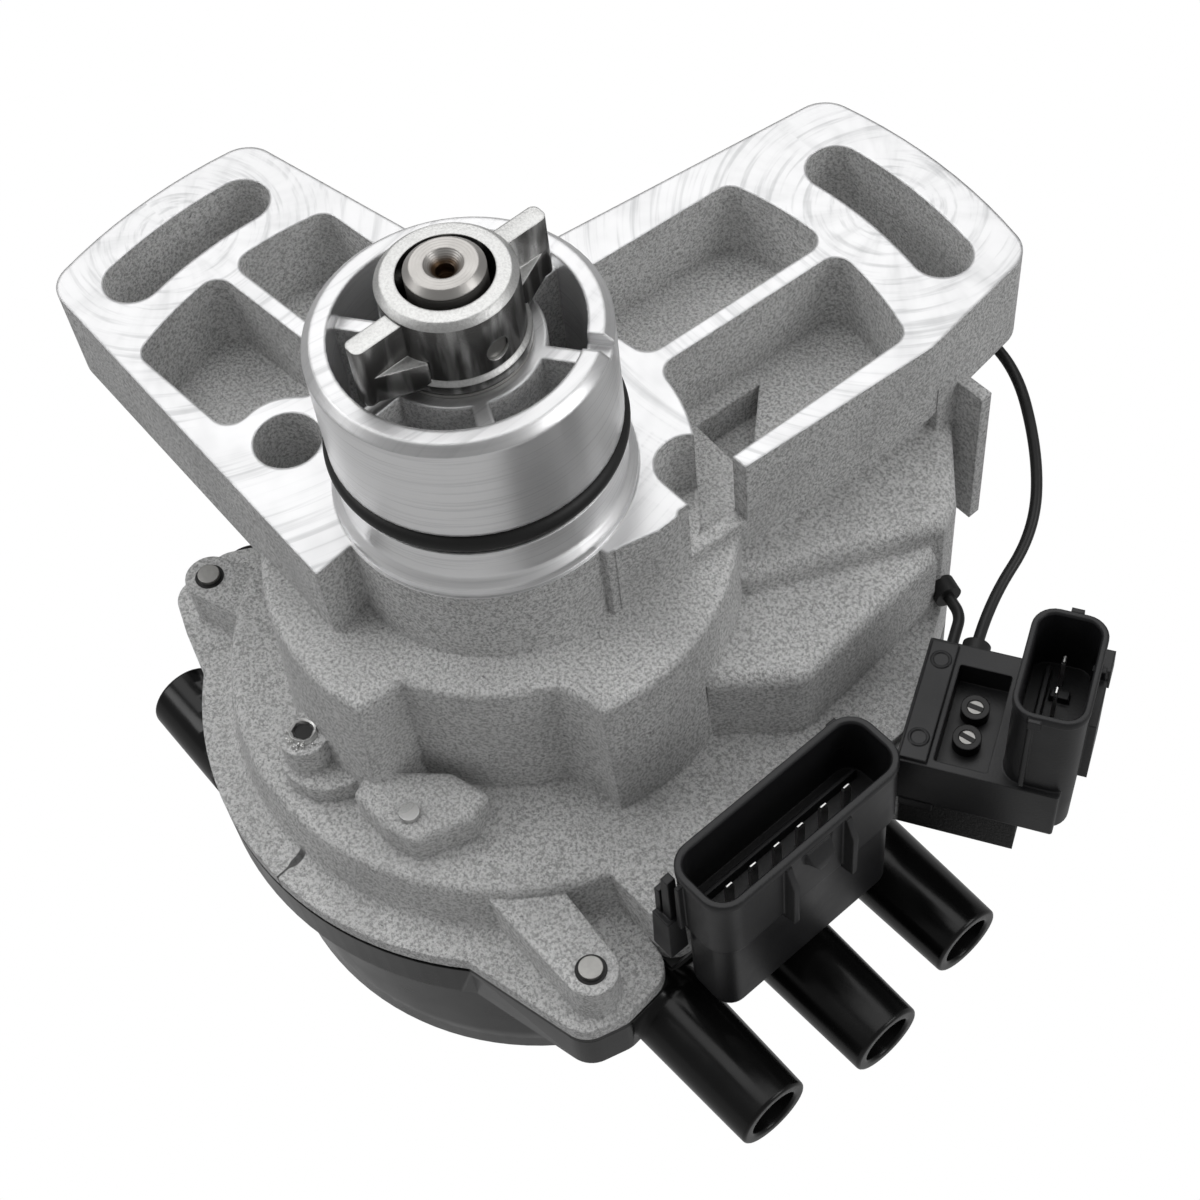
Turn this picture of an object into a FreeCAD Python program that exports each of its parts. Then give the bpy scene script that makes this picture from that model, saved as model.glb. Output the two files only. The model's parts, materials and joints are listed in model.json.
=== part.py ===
"""Six-cylinder ignition distributor with its coil and igniter inside the housing.

All lengths are millimetres. The origin is where the shaft axis crosses the machined
mounting face. +Z runs along the shaft, out of the pilot and into the engine, and +X is
the way the open row of lead towers points. Levels below the mounting face are written as
positive drops.
"""

import FreeCAD, Part
import math
import os
import re

import Sketcher

Vector = FreeCAD.Vector
Rotation = FreeCAD.Rotation
Placement = FreeCAD.Placement
UP = Vector(0, 0, 1)

# Driving sizes: alias, value

SIZES = [
    # pilot, hub and webs
    ("pilot_radius", 23.0),
    ("pilot_height", 34.0),
    ("pilot_chamfer", 1.4),
    ("pilot_bore", 19.1),
    ("pilot_floor", 8.0),
    ("foot_radius", 24.2),
    ("foot_height", 1.6),
    ("foot_cove", 1.6),
    ("ring_level", 11.6),
    ("ring_radius", 1.8),
    ("ring_proud", 0.75),
    ("groove_width", 4.6),
    ("hub_radius", 13.0),
    ("hub_top", 31.0),
    ("web_count", 6),
    ("web_width", 2.5),
    ("web_top", 31.0),
    ("web_angle", 35.0),
    ("notch_depth", 2.2),
    # arms of the mounting flange
    ("arm_depth", 19.0),
    ("left_angle", 184.4),
    ("left_reach", 88.5),
    ("left_root_half", 31.3),
    ("left_tip_half", 22.8),
    ("right_angle", 86.4),
    ("right_reach", 97.9),
    ("right_inner_root", 35.1),
    ("right_inner_tip", 27.9),
    ("right_outer_root", 25.8),
    ("right_knee_reach", 69.4),
    ("right_knee_half", 27.3),
    ("right_outer_tip", 22.6),
    ("arm_corner", 6.0),
    ("left_slot_radius", 76.45),
    ("left_slot_width", 10.7),
    ("left_slot_half_angle", 9.0),
    ("right_slot_radius", 85.15),
    ("right_slot_width", 10.5),
    ("right_slot_half_angle", 9.0),
    ("pocket_depth", 16.0),
    ("pocket_start", 33.3),
    ("left_pocket_end", 65.5),
    ("right_pocket_end", 71.8),
    ("rib_half", 1.45),
    ("left_pocket_half", 21.2),
    ("left_pocket_wide", 22.8),
    ("right_pocket_inner", 23.6),
    ("right_pocket_outer", 23.6),
    ("pocket_corner", 3.5),
    ("wedge_depth", 23.0),
    ("hole_x", -27.0),
    ("hole_y", -19.3),
    ("hole_radius", 5.65),
    ("hole_boss_radius", 9.0),
    ("hole_depth", 14.0),
    ("bite_x", 21.6),
    ("bite_y", 23.9),
    ("bite_radius", 5.6),
    ("bite_depth", 14.0),
    ("shoulder_x", 27.9),
    ("shoulder_low", 3.0),
    ("shoulder_high", 17.5),
    # bell, shelf, bowl and rim
    ("boss_radius", 24.6),
    ("terrace_drop", 16.5),
    ("bell_radius", 39.4),
    ("bell_draft", 1.6),
    ("shelf_drop", 46.0),
    ("bowl_radius", 51.0),
    ("bowl_draft", 1.6),
    ("rim_drop", 57.0),
    ("rim_thick", 3.0),
    ("rim_radius", 58.6),
    ("recess_radius", 31.8),
    ("chamber_radius", 46.5),
    ("chamber_drop", 50.0),
    ("upper_chamber_radius", 27.0),
    ("upper_chamber_drop", 26.0),
    # coil bay
    ("bay_face", 61.0),
    ("bay_front", 19.5),
    ("bay_back", 75.0),
    ("bay_inner", 22.0),
    ("bay_side_y", 34.0),
    ("bay_corner_x", 44.5),
    ("bay_corner_y", 61.8),
    ("crest_drop", 23.5),
    ("middle_drop", 29.0),
    ("bay_wall", 4.0),
    ("bay_ceiling_drop", 30.0),
    ("crest_round", 4.0),
    ("step_round", 2.0),
    ("edge_round", 1.5),
    ("finger_x", 49.6),
    ("finger_y", 22.0),
    ("finger_tip_x", 47.2),
    ("finger_tip_y", 54.8),
    ("fin_x", 31.5),
    ("fin_thick", 2.4),
    ("fin_top_drop", 13.0),
    ("fin_reach", 77.5),
    ("wing_reach", 37.0),
    ("wing_top_drop", 15.0),
    ("wing_bottom_drop", 48.0),
    ("ledge_reach", 91.0),
    ("ledge_half", 9.0),
    ("tongue_half", 14.0),
    ("tongue_top_drop", 51.5),
    ("pin_pad_drop", 39.0),
    ("locating_x", 19.7),
    ("locating_y", -38.2),
    ("locating_radius", 1.7),
    ("locating_depth", 6.0),
    # cap lugs
    ("lug_top_drop", 48.0),
    ("lug_radius", 4.5),
    ("lug_hole_radius", 2.1),
    ("front_lug_x", 57.0),
    ("front_lug_y", -32.3),
    ("left_lug_x", -49.0),
    ("left_lug_y", -33.0),
    ("back_lug_x", -31.0),
    ("back_lug_y", 64.5),
    ("lug_margin", 6.6),
    # shaft and what turns on it
    ("shaft_radius", 6.0),
    ("shaft_end", 47.3),
    ("shaft_chamfer", 1.0),
    ("shaft_step_drop", 27.0),
    ("spindle_radius", 5.0),
    ("spindle_drop", 77.0),
    ("fit_clearance", 0.03),
    ("bush_radius", 9.0),
    ("bush_bottom", 12.0),
    ("bush_top", 29.5),
    ("seal_radius", 11.0),
    ("seal_height", 6.0),
    ("bearing_radius", 14.0),
    ("bearing_width", 8.0),
    ("ball_radius", 2.38),
    ("ball_count", 7),
    ("ball_ring_radius", 10.0),
    ("race_wall", 2.4),
    ("ball_clearance", 0.05),
    ("run_clearance", 0.35),
    ("retainer_radius", 22.0),
    ("retainer_thick", 1.6),
    ("retainer_bolt_ring", 18.0),
    ("small_screw_radius", 2.0),
    ("small_screw_head", 3.6),
    ("small_screw_head_thick", 2.2),
    ("small_screw_grip", 6.0),
    ("screw_count", 3),
    # drive coupling
    ("coupling_radius", 10.4),
    ("coupling_bore", 7.2),
    ("coupling_top", 45.5),
    ("coupling_bottom", 32.0),
    ("collar_width", 0.7),
    ("collar_height", 1.5),
    ("washer_thick", 0.6),
    ("pin_level", 37.6),
    ("pin_radius", 1.9),
    ("dog_reach", 18.0),
    ("dog_width", 3.3),
    ("dog_top", 44.0),
    ("dog_bottom", 32.8),
    # trigger wheel, pickup and base plate
    ("plate_radius", 44.0),
    ("plate_thick", 1.5),
    ("plate_bore", 12.0),
    ("plate_bolt_ring", 36.0),
    ("plate_bolt_angle", 140.0),
    ("wheel_radius", 26.0),
    ("wheel_wall", 1.2),
    ("wheel_drop", 63.0),
    ("wheel_height", 8.6),
    ("wheel_hub_radius", 8.0),
    ("wheel_hub_height", 5.0),
    ("window_count", 6),
    ("window_width", 12.0),
    ("window_height", 6.0),
    ("sensor_inner", 20.0),
    ("sensor_outer", 31.5),
    ("sensor_half", 7.0),
    ("sensor_foot_thick", 2.2),
    ("sensor_leg_drop", 60.5),
    ("sensor_slot_inner", 22.8),
    ("sensor_slot_outer", 28.0),
    ("igniter_inner", 28.5),
    ("igniter_outer", 41.5),
    ("igniter_half", 13.0),
    ("igniter_height", 8.0),
    ("cover_thick", 1.5),
    ("cover_drop", 67.0),
    ("cover_radius", 45.8),
    ("cover_bore", 11.0),
    # ignition coil in the bay
    ("coil_low_x", -12.0),
    ("coil_high_x", 28.0),
    ("coil_low_y", 35.0),
    ("coil_high_y", 67.0),
    ("coil_top_drop", 31.0),
    ("coil_bottom_drop", 56.0),
    ("coil_corner", 3.0),
    ("core_low_x", -17.0),
    ("core_high_x", 33.0),
    ("core_y", 52.0),
    ("core_half", 6.0),
    ("core_top_drop", 36.0),
    ("core_bottom_drop", 48.0),
    ("coil_screw_inset", 2.3),
    ("coil_tower_x", 3.0),
    ("coil_tower_y", 43.5),
    ("coil_tower_radius", 6.0),
    ("coil_tower_drop", 64.0),
    ("contact_radius", 1.6),
    # rotor
    ("rotor_top_drop", 69.5),
    ("rotor_arm_drop", 80.0),
    ("rotor_arm_thick", 4.5),
    ("rotor_arm_half", 6.5),
    ("rotor_hub_radius", 9.0),
    ("rotor_reach", 31.0),
    ("blade_thick", 1.2),
    ("blade_half", 4.5),
    ("blade_reach", 32.6),
    ("grub_drop", 73.0),
    ("grub_radius", 1.6),
    # cap
    ("gasket_thick", 1.0),
    ("cap_flange_thick", 9.0),
    ("cap_radius", 54.6),
    ("cap_draft", 1.5),
    ("cap_drop", 107.0),
    ("cap_wall", 5.0),
    ("cap_bore", 39.0),
    ("tower_drop", 68.5),
    ("tower_pitch", 22.2),
    ("tower_reach", 88.3),
    ("tower_middle_extra", 3.4),
    ("tower_tip_radius", 6.7),
    ("tower_bore", 4.5),
    ("tower_bore_depth", 22.0),
    ("far_bore_depth", 16.0),
    ("far_tower_first", -47.0),
    ("far_tower_pitch", 24.0),
    ("far_tower_reach", 46.0),
    ("electrode_ring", 35.3),
    ("electrode_radius", 1.8),
    ("electrode_drop", 74.0),
    ("electrode_end_drop", 82.0),
    ("strip_radius", 1.2),
    ("far_tower_drop", 70.0),
    ("ferrule_radius", 3.8),
    ("ferrule_depth", 3.0),
    ("raft_half", 31.0),
    ("raft_drop", 77.0),
    ("brush_radius", 3.0),
    ("brush_length", 12.0),
    ("brush_gap", 0.3),
    ("brush_holder_radius", 5.4),
    ("brush_holder_height", 13.0),
    ("spring_wire", 0.35),
    ("spring_turns", 5),
    ("bus_half", 1.5),
    ("bus_thick", 1.5),
    # connectors
    ("plug_inner", 62.2),
    ("plug_outer", 75.0),
    ("plug_half", 19.6),
    ("plug_rim_drop", 20.0),
    ("plug_seam_drop", 36.0),
    ("plug_base_drop", 57.6),
    ("plug_wall", 1.7),
    ("plug_corner", 4.5),
    ("pin_pitch", 4.95),
    ("pin_side", 1.1),
    ("block_angle", 30.5),
    ("block_near", 70.6),
    ("block_far", 97.0),
    ("block_back", -11.2),
    ("block_front", 13.0),
    ("block_top_drop", 36.0),
    ("block_thick", 12.0),
    ("shell_near", 87.2),
    ("shell_far", 98.8),
    ("shell_back", -8.2),
    ("shell_front", 12.0),
    ("shell_rim_drop", 15.0),
    ("lead_radius", 1.0),
    ("grommet_radius", 2.4),
    ("grommet_length", 3.0),
    ("plug_floor_drop", 34.0),
    ("pin_tip_drop", 28.0),
    ("pin_root_drop", 42.0),
    ("recess_near", 76.5),
    ("recess_far", 85.2),
    ("recess_back", -7.3),
    ("recess_front", 11.5),
    ("recess_depth", 5.0),
    ("block_screw_n", 80.5),
    ("block_screw_t", 1.35),
    ("block_screw_pitch", 5.9),
    ("block_screw_head", 2.3),
    ("three_pin_n", 93.0),
    ("three_pin_t", 2.0),
    ("three_pin_pitch", 5.95),
    ("three_pin_tip_drop", 22.0),
    ("three_pin_floor_drop", 29.0),
]

# Sizes worked out from the driving ones, as formulas

DERIVED = {
    "groove_depth": "2 * ring_radius - ring_proud",
    "rim_bottom_drop": "rim_drop + rim_thick",
    "flange_top_drop": "rim_bottom_drop + gasket_thick",
    "flange_bottom_drop": "flange_top_drop + cap_flange_thick",
    "plate_drop": "chamber_drop",
    "block_bottom_drop": "block_top_drop + block_thick",
    "bearing_top_drop": "upper_chamber_drop - bearing_width",
    "seal_top_drop": "bearing_top_drop - seal_height",
    "plate_bottom_drop": "plate_drop + plate_thick",
    "outer_race_radius": "bearing_radius - race_wall",
    "inner_race_radius": "shaft_radius + race_wall - 0.2",
    "cover_seat_drop": "cover_drop + cover_thick",
    "blade_bottom_drop": "rotor_arm_drop + blade_thick",
    "brush_top_drop": "blade_bottom_drop + brush_gap",
    "brush_bottom_drop": "brush_top_drop + brush_length",
    "bus_top_drop": "coil_tower_drop + 2",
    "coil_room_depth": "coil_tower_drop - flange_top_drop + 1",
    "tower_taper": "1.3",
    "cap_floor_drop": "cap_drop - cap_wall",
    "tower_root": "bay_face - 4",
}


def formula(text):
    """Write a formula of plain aliases as one that the document understands."""
    def swap(match):
        word = match.group(0)
        if word in DERIVED:
            return "(" + formula(DERIVED[word]) + ")"
        if word in VALUES:
            return "Sizes." + word
        return word
    return re.sub(r"[a-z][a-z_]*", swap, text)


VALUES = dict(SIZES)
doc = FreeCAD.newDocument("ignition_distributor")
sheet = doc.addObject("Spreadsheet::Sheet", "Sizes")
for row, (alias, value) in enumerate(SIZES, start=1):
    sheet.set("A%d" % row, alias)
    sheet.set("B%d" % row, str(value))
    sheet.setAlias("B%d" % row, alias)
doc.recompute()


def number(text):
    """Value of a formula, in millimetres or degrees."""
    result = sheet.evalExpression(formula(text))
    return float(getattr(result, "Value", result))


# Helpers that draw sketches and features


def bind(thing, path, text):
    """Tie a property of a document object to a formula of the sheet's sizes."""
    thing.setExpression(path, formula(text))


def new_body(label):
    """A body that becomes one sub-part."""
    body = doc.addObject("PartDesign::Body", label)
    body.Label = label
    return body


def origin_part(body, role):
    """One of the body's own origin planes or axes."""
    return next(item for item in body.Origin.OriginFeatures if item.Role == role)


def sketch_on(body, name, level="0", turn="0", plane="XY_Plane"):
    """Empty sketch parallel to an origin plane, lifted to a level and turned."""
    sketch = body.newObject("Sketcher::SketchObject", name)
    sketch.AttachmentSupport = (origin_part(body, plane), [""])
    sketch.MapMode = "FlatFace"
    bind(sketch, "AttachmentOffset.Base.z", level)
    bind(sketch, "AttachmentOffset.Rotation.Angle", turn)
    return sketch


def fix(sketch, kind, geometry, point, text):
    """Hold a point's distance from the sketch's origin along X or Y."""
    index = sketch.addConstraint(Sketcher.Constraint(kind, -1, 1, geometry, point, number(text)))
    bind(sketch, "Constraints[%d]" % index, text)


def corner_place(corner, radius):
    """Place of a corner; a coordinate left out lies on the circle round the origin."""
    x_text, y_text = corner[0], corner[1]
    if x_text is None:
        y = number(y_text)
        return Vector(math.sqrt(radius ** 2 - y ** 2), y, 0)
    return Vector(number(x_text), number(y_text), 0)


def outline(sketch, corners):
    """Closed outline through corners (x, y); a third item bends the next side round the origin.

    The third item is the radius of that side. Both its ends leave x out, as None.
    """
    radii = [number(corner[2]) if len(corner) > 2 else None for corner in corners]
    count = len(corners)
    places = []
    for index, corner in enumerate(corners):
        places.append(corner_place(corner, radii[index] or radii[index - 1]))
    ends = []
    for index in range(count):
        start, stop = places[index], places[(index + 1) % count]
        if radii[index] is None:
            side = sketch.addGeometry(Part.LineSegment(start, stop), False)
            ends.append(((side, 1), (side, 2)))
            continue
        circle = Part.Circle(Vector(0, 0, 0), UP, radii[index])
        forward = start.cross(stop).z > 0
        first, last = (start, stop) if forward else (stop, start)
        side = sketch.addGeometry(
            Part.ArcOfCircle(circle, math.atan2(first.y, first.x), math.atan2(last.y, last.x)), False)
        ends.append(((side, 1), (side, 2)) if forward else ((side, 2), (side, 1)))
        sketch.addConstraint(Sketcher.Constraint("Coincident", side, 3, -1, 1))
        tie = sketch.addConstraint(Sketcher.Constraint("Radius", side, radii[index]))
        bind(sketch, "Constraints[%d]" % tie, corners[index][2])
    for index in range(count):
        after = ends[(index + 1) % count][0]
        sketch.addConstraint(Sketcher.Constraint("Coincident", *ends[index][1], *after))
    for index, corner in enumerate(corners):
        if corner[0] is not None:
            fix(sketch, "DistanceX", *ends[index][0], corner[0])
        fix(sketch, "DistanceY", *ends[index][0], corner[1])
    return sketch


def box_outline(sketch, low_x, low_y, high_x, high_y):
    """Rectangle between two corners."""
    return outline(sketch, [(low_x, low_y), (high_x, low_y), (high_x, high_y), (low_x, high_y)])


def circle_outline(sketch, radius, x="0", y="0"):
    """Circle with its centre held at a place."""
    place = Vector(number(x), number(y), 0)
    circle = sketch.addGeometry(Part.Circle(place, UP, number(radius)), False)
    tie = sketch.addConstraint(Sketcher.Constraint("Radius", circle, number(radius)))
    bind(sketch, "Constraints[%d]" % tie, radius)
    fix(sketch, "DistanceX", circle, 3, x)
    fix(sketch, "DistanceY", circle, 3, y)
    return sketch


def feature(body, kind, sketch, length, upward=True, draft=None):
    """Pad or pocket a sketch by a length, towards +Z unless told otherwise."""
    made = body.newObject("PartDesign::" + kind, sketch.Name + kind)
    made.Profile = sketch
    bind(made, "Length", length)
    made.Reversed = upward if kind == "Pocket" else not upward
    if draft:
        bind(made, "TaperAngle", draft)
    doc.recompute()
    return made


def pad(body, sketch, length, upward=False, draft=None):
    """Add material below the sketch, or above it."""
    return feature(body, "Pad", sketch, length, upward, draft)


def pocket(body, sketch, length, upward=False, draft=None):
    """Cut material below the sketch, or above it, and stop if nothing was cut."""
    before = body.Shape.Volume
    made = feature(body, "Pocket", sketch, length, upward, draft)
    if body.Shape.Volume > before - 0.01:
        raise RuntimeError(made.Name + " cuts nothing")
    return made


def spin(body, name, corners, kind="Revolution"):
    """Turn a half profile of (radius, level) corners round the shaft axis."""
    sketch = outline(sketch_on(body, name, plane="XZ_Plane"), corners)
    made = body.newObject("PartDesign::" + kind, name + kind)
    made.Profile = sketch
    made.ReferenceAxis = (sketch, ["V_Axis"])
    made.Angle = 360
    doc.recompute()
    return made


def pattern_round(body, source, count):
    """Repeat a feature evenly round the shaft axis."""
    made = body.newObject("PartDesign::PolarPattern", source.Name + "Round")
    made.Originals = [source]
    made.Axis = (origin_part(body, "Z_Axis"), [""])
    made.Angle = 360
    bind(made, "Occurrences", count)
    body.Tip = made
    doc.recompute()
    return made


def turned(x_text, y_text, turn="0"):
    """Place in plan of a point given in a sketch frame turned about the shaft axis."""
    angle = math.radians(number(turn))
    x, y = number(x_text), number(y_text)
    return (x * math.cos(angle) - y * math.sin(angle), x * math.sin(angle) + y * math.cos(angle))


def on_circle(radius, y_text):
    """The x at which a height y meets a circle round the origin, as a formula."""
    return "sqrt((%s)^2 - (%s)^2)" % (radius, y_text)


def upright_edges(shape, places, low, high):
    """Names of the upright edges at given places in plan whose middle lies between two levels."""
    names = []
    for index, edge in enumerate(shape.Edges, start=1):
        if not isinstance(edge.Curve, Part.Line) or abs(edge.tangentAt(edge.FirstParameter).z) < 0.999:
            continue
        middle = edge.CenterOfMass
        near = any(math.hypot(middle.x - x, middle.y - y) < 0.3 for x, y in places)
        if near and number(low) < middle.z < number(high):
            names.append("Edge%d" % index)
    return names


def soften(body, name, radius, edges):
    """Round the named edges of the body as it stands."""
    made = body.newObject("PartDesign::Fillet", name)
    made.Base = (body.Tip if body.Tip != made else made.BaseFeature, edges)
    bind(made, "Radius", radius)
    doc.recompute()
    return made


def level_edges(shape, level, reach=None, outer=True):
    """Names of the edges that lie flat at a level, either outer ones or those at the foot of a wall.

    Only edges whose middle satisfies reach, a test on a point, are named.
    """
    height = number(level)
    names = []
    for index, edge in enumerate(shape.Edges, start=1):
        box = edge.BoundBox
        if box.ZLength > 0.01 or abs(box.ZMin - height) > 0.01 or edge.Length < 0.5:
            continue
        if reach and not reach(edge.CenterOfMass):
            continue
        sides = [face.BoundBox for face in shape.ancestorsOfType(edge, Part.Face)]
        rises = any(side.ZMax > height + 0.05 for side in sides)
        falls = any(side.ZMin < height - 0.05 for side in sides)
        if (falls and not rises) if outer else (rises and not falls):
            names.append("Edge%d" % index)
    return names


# Housing casting

# Outlines in plan, shared by the housing, the gasket and the cap

BAY_LOW = [
    ("chamber_radius - 20", "-bay_front"),
    ("bay_face", "-bay_front"),
    ("bay_face", "bay_side_y"),
    ("bay_corner_x", "bay_corner_y"),
    ("bay_corner_x - 14", "bay_back"),
    ("-bay_inner", "bay_back"),
    ("-bay_inner - 4", "bay_side_y + 10"),
    ("-bay_inner + 4", "0"),
]
LUGS = {
    "Front": [
        ("rim_radius * 0.55", "-rim_radius * 0.78"),
        ("front_lug_x + 4.4", "front_lug_y - lug_margin"),
        ("front_lug_x + lug_margin", "front_lug_y + 1"),
        ("front_lug_x + 5.6", "-bay_front - 1"),
        ("rim_radius * 0.7", "-bay_front + 2"),
    ],
    "Left": [
        ("-rim_radius * 0.91", "-rim_radius * 0.3"),
        ("left_lug_x - lug_margin - 2.6", "left_lug_y + 7"),
        ("left_lug_x - lug_margin - 1.4", "left_lug_y - 5"),
        ("left_lug_x + 1", "left_lug_y - 8.4"),
        ("-rim_radius * 0.5", "-rim_radius * 0.8"),
    ],
    "Back": [
        ("-rim_radius * 0.86", "rim_radius * 0.45"),
        ("back_lug_x - lug_margin - 1", "back_lug_y + 1"),
        ("back_lug_x - 2", "back_lug_y + lug_margin + 1.4"),
        ("-bay_inner + 4", "bay_back"),
        ("-bay_inner + 6", "rim_radius * 0.8"),
    ],
}
PIN_PAD = [
    ("locating_x - 11.7", "locating_y"),
    ("locating_x - 1.7", "locating_y + 10"),
    ("locating_x + 5.8", "locating_y + 12"),
    ("locating_x + 7.6", "locating_y + 7"),
    ("locating_x + 4.2", "locating_y - 2.8"),
    ("locating_x - 1.2", "locating_y - 4.4"),
    ("locating_x - 9.7", "locating_y - 4.6"),
]
LUG_CENTRES = [("front_lug_x", "front_lug_y"), ("left_lug_x", "left_lug_y"), ("back_lug_x", "back_lug_y")]


def add_footprint(body, top, thickness, grow="0"):
    """Plate with the outline of the rim: the round bowl, the coil bay and three lugs."""
    pad(body, circle_outline(sketch_on(body, "RimRound", top), "rim_radius + (%s)" % grow), thickness)
    pad(body, outline(sketch_on(body, "RimBay", top), BAY_LOW), thickness)
    for name, corners in LUGS.items():
        pad(body, outline(sketch_on(body, "Rim%sLug" % name, top), corners), thickness)
    outer = [turned(*corners[place]) for name, corners in LUGS.items() for place in (1, 2, 3)
             if (name, place) != ("Back", 3)]
    soften(body, "RimCorners", "5", upright_edges(body.Shape, outer, "-cap_drop", "0"))


def cut_lug_holes(body, top, depth, radius="lug_hole_radius"):
    """Screw holes through the three cap lugs, or the room that their screws' heads need."""
    sketch = sketch_on(body, "LugHoles", top)
    for x, y in LUG_CENTRES:
        circle_outline(sketch, radius, x, y)
    pocket(body, sketch, depth)


def build_flange(body):
    """Two arms of the mounting flange, spread from the boss under the pilot."""
    left = sketch_on(body, "LeftArm", turn="left_angle")
    pad(body, outline(left, [
        ("5", "left_root_half"),
        (None, "left_tip_half", "left_reach"),
        (None, "-left_tip_half"),
        ("5", "-left_root_half"),
    ]), "arm_depth")
    right = sketch_on(body, "RightArm", turn="right_angle")
    pad(body, outline(right, [
        ("6", "-right_outer_root"),
        ("right_knee_reach", "-right_knee_half"),
        (None, "-right_outer_tip", "right_reach"),
        (None, "right_inner_tip"),
        ("6", "right_inner_root"),
    ]), "arm_depth")
    left_corner = on_circle("left_reach", "left_tip_half")
    corners = [turned(left_corner, side + "left_tip_half", "left_angle") for side in ("", "-")]
    corners.append(turned(on_circle("right_reach", "right_outer_tip"), "-right_outer_tip", "right_angle"))
    corners.append(turned(on_circle("right_reach", "right_inner_tip"), "right_inner_tip", "right_angle"))
    soften(body, "ArmCorners", "arm_corner", upright_edges(body.Shape, corners, "-arm_depth", "0"))
    pad(body, circle_outline(sketch_on(body, "Boss"), "boss_radius"), "terrace_drop + 1")


def build_bowl(body):
    """Bell above the bearing, shelf, bowl wall and rim, all turned about the shaft axis."""
    spin(body, "Bell", [
        ("0", "-terrace_drop"),
        ("bell_radius", "-terrace_drop"),
        ("bell_radius + bell_draft", "-shelf_drop"),
        ("bowl_radius", "-shelf_drop"),
        ("bowl_radius + bowl_draft", "-rim_drop"),
        ("bowl_radius + bowl_draft", "-rim_bottom_drop"),
        ("0", "-rim_bottom_drop"),
    ])
    recess = sketch_on(body, "FrontRecess", "-terrace_drop + 1")
    pocket(body, outline(recess, [
        ("8.2", "-recess_radius * 2"),
        ("11.5", "-recess_radius * 1.15"),
        (None, "-recess_radius * 0.93", "recess_radius"),
        (None, "-recess_radius * 0.39"),
        ("recess_radius * 1.12", "-recess_radius * 0.33"),
        ("recess_radius * 2", "-recess_radius * 0.3"),
    ]), "shelf_drop - terrace_drop + 1")


def build_bay(body):
    """Coil bay under the right arm: three levels that fan out from the bell."""
    pad(body, outline(sketch_on(body, "BayLow", "-shelf_drop"), BAY_LOW), "rim_bottom_drop - shelf_drop")
    middle = [
        ("bell_radius * 0.5", "bell_radius * 0.4"),
        ("bell_radius", "bell_radius * 0.25"),
        ("finger_x", "finger_y"),
        ("finger_tip_x", "finger_tip_y"),
        ("bell_radius * 0.75", "finger_tip_y"),
    ]
    pad(body, outline(sketch_on(body, "BayMiddle", "-middle_drop"), middle), "rim_drop - middle_drop")
    crest = [
        ("bell_radius * 0.5", "bell_radius * 0.4"),
        ("bell_radius * 0.8", "bell_radius * 0.68"),
        ("46.4", "57"),
        ("bay_corner_x", "bay_corner_y"),
        ("bay_corner_x - 14", "bay_back"),
        ("-bay_inner", "bay_back"),
        ("-bay_inner - 4", "bay_side_y + 10"),
        ("-bay_inner + 4", "0"),
    ]
    pad(body, outline(sketch_on(body, "BayCrest", "-crest_drop"), crest), "rim_drop - crest_drop")
    web = sketch_on(body, "ArmWeb", "-arm_depth + 0.5", turn="right_angle")
    pad(body, box_outline(web, "15", "-right_outer_root + 0.4", "bay_back - 3", "bay_inner"),
        "crest_drop - arm_depth + 1")


def build_pilot(body):
    """Pilot tube with its ring groove, and the hub inside it carried by six webs."""
    spin(body, "Pilot", [
        ("0", "-1"),
        ("foot_radius", "-1"),
        ("foot_radius", "foot_height"),
        ("pilot_radius", "foot_height + foot_cove"),
        ("pilot_radius", "ring_level - groove_width / 2"),
        ("pilot_radius - groove_depth", "ring_level - groove_width / 2"),
        ("pilot_radius - groove_depth", "ring_level + groove_width / 2"),
        ("pilot_radius", "ring_level + groove_width / 2"),
        ("pilot_radius", "pilot_height - pilot_chamfer"),
        ("pilot_radius - pilot_chamfer", "pilot_height"),
        ("pilot_bore", "pilot_height"),
        ("pilot_bore", "pilot_floor"),
        ("hub_radius", "pilot_floor"),
        ("hub_radius", "hub_top"),
        ("0", "hub_top"),
    ])
    web = sketch_on(body, "Web", "pilot_floor", turn="web_angle")
    box_outline(web, "hub_radius - 0.5", "-web_width / 2", "pilot_bore + 0.5", "web_width / 2")
    pattern_round(body, pad(body, web, "web_top - pilot_floor", upward=True), "web_count")
    notch = sketch_on(body, "OilNotch", "pilot_height", turn="web_angle + 2")
    box_outline(notch, "pilot_bore - 1", "-web_width * 0.6", "pilot_radius + 1", "web_width * 0.6")
    pocket(body, notch, "notch_depth")


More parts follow.
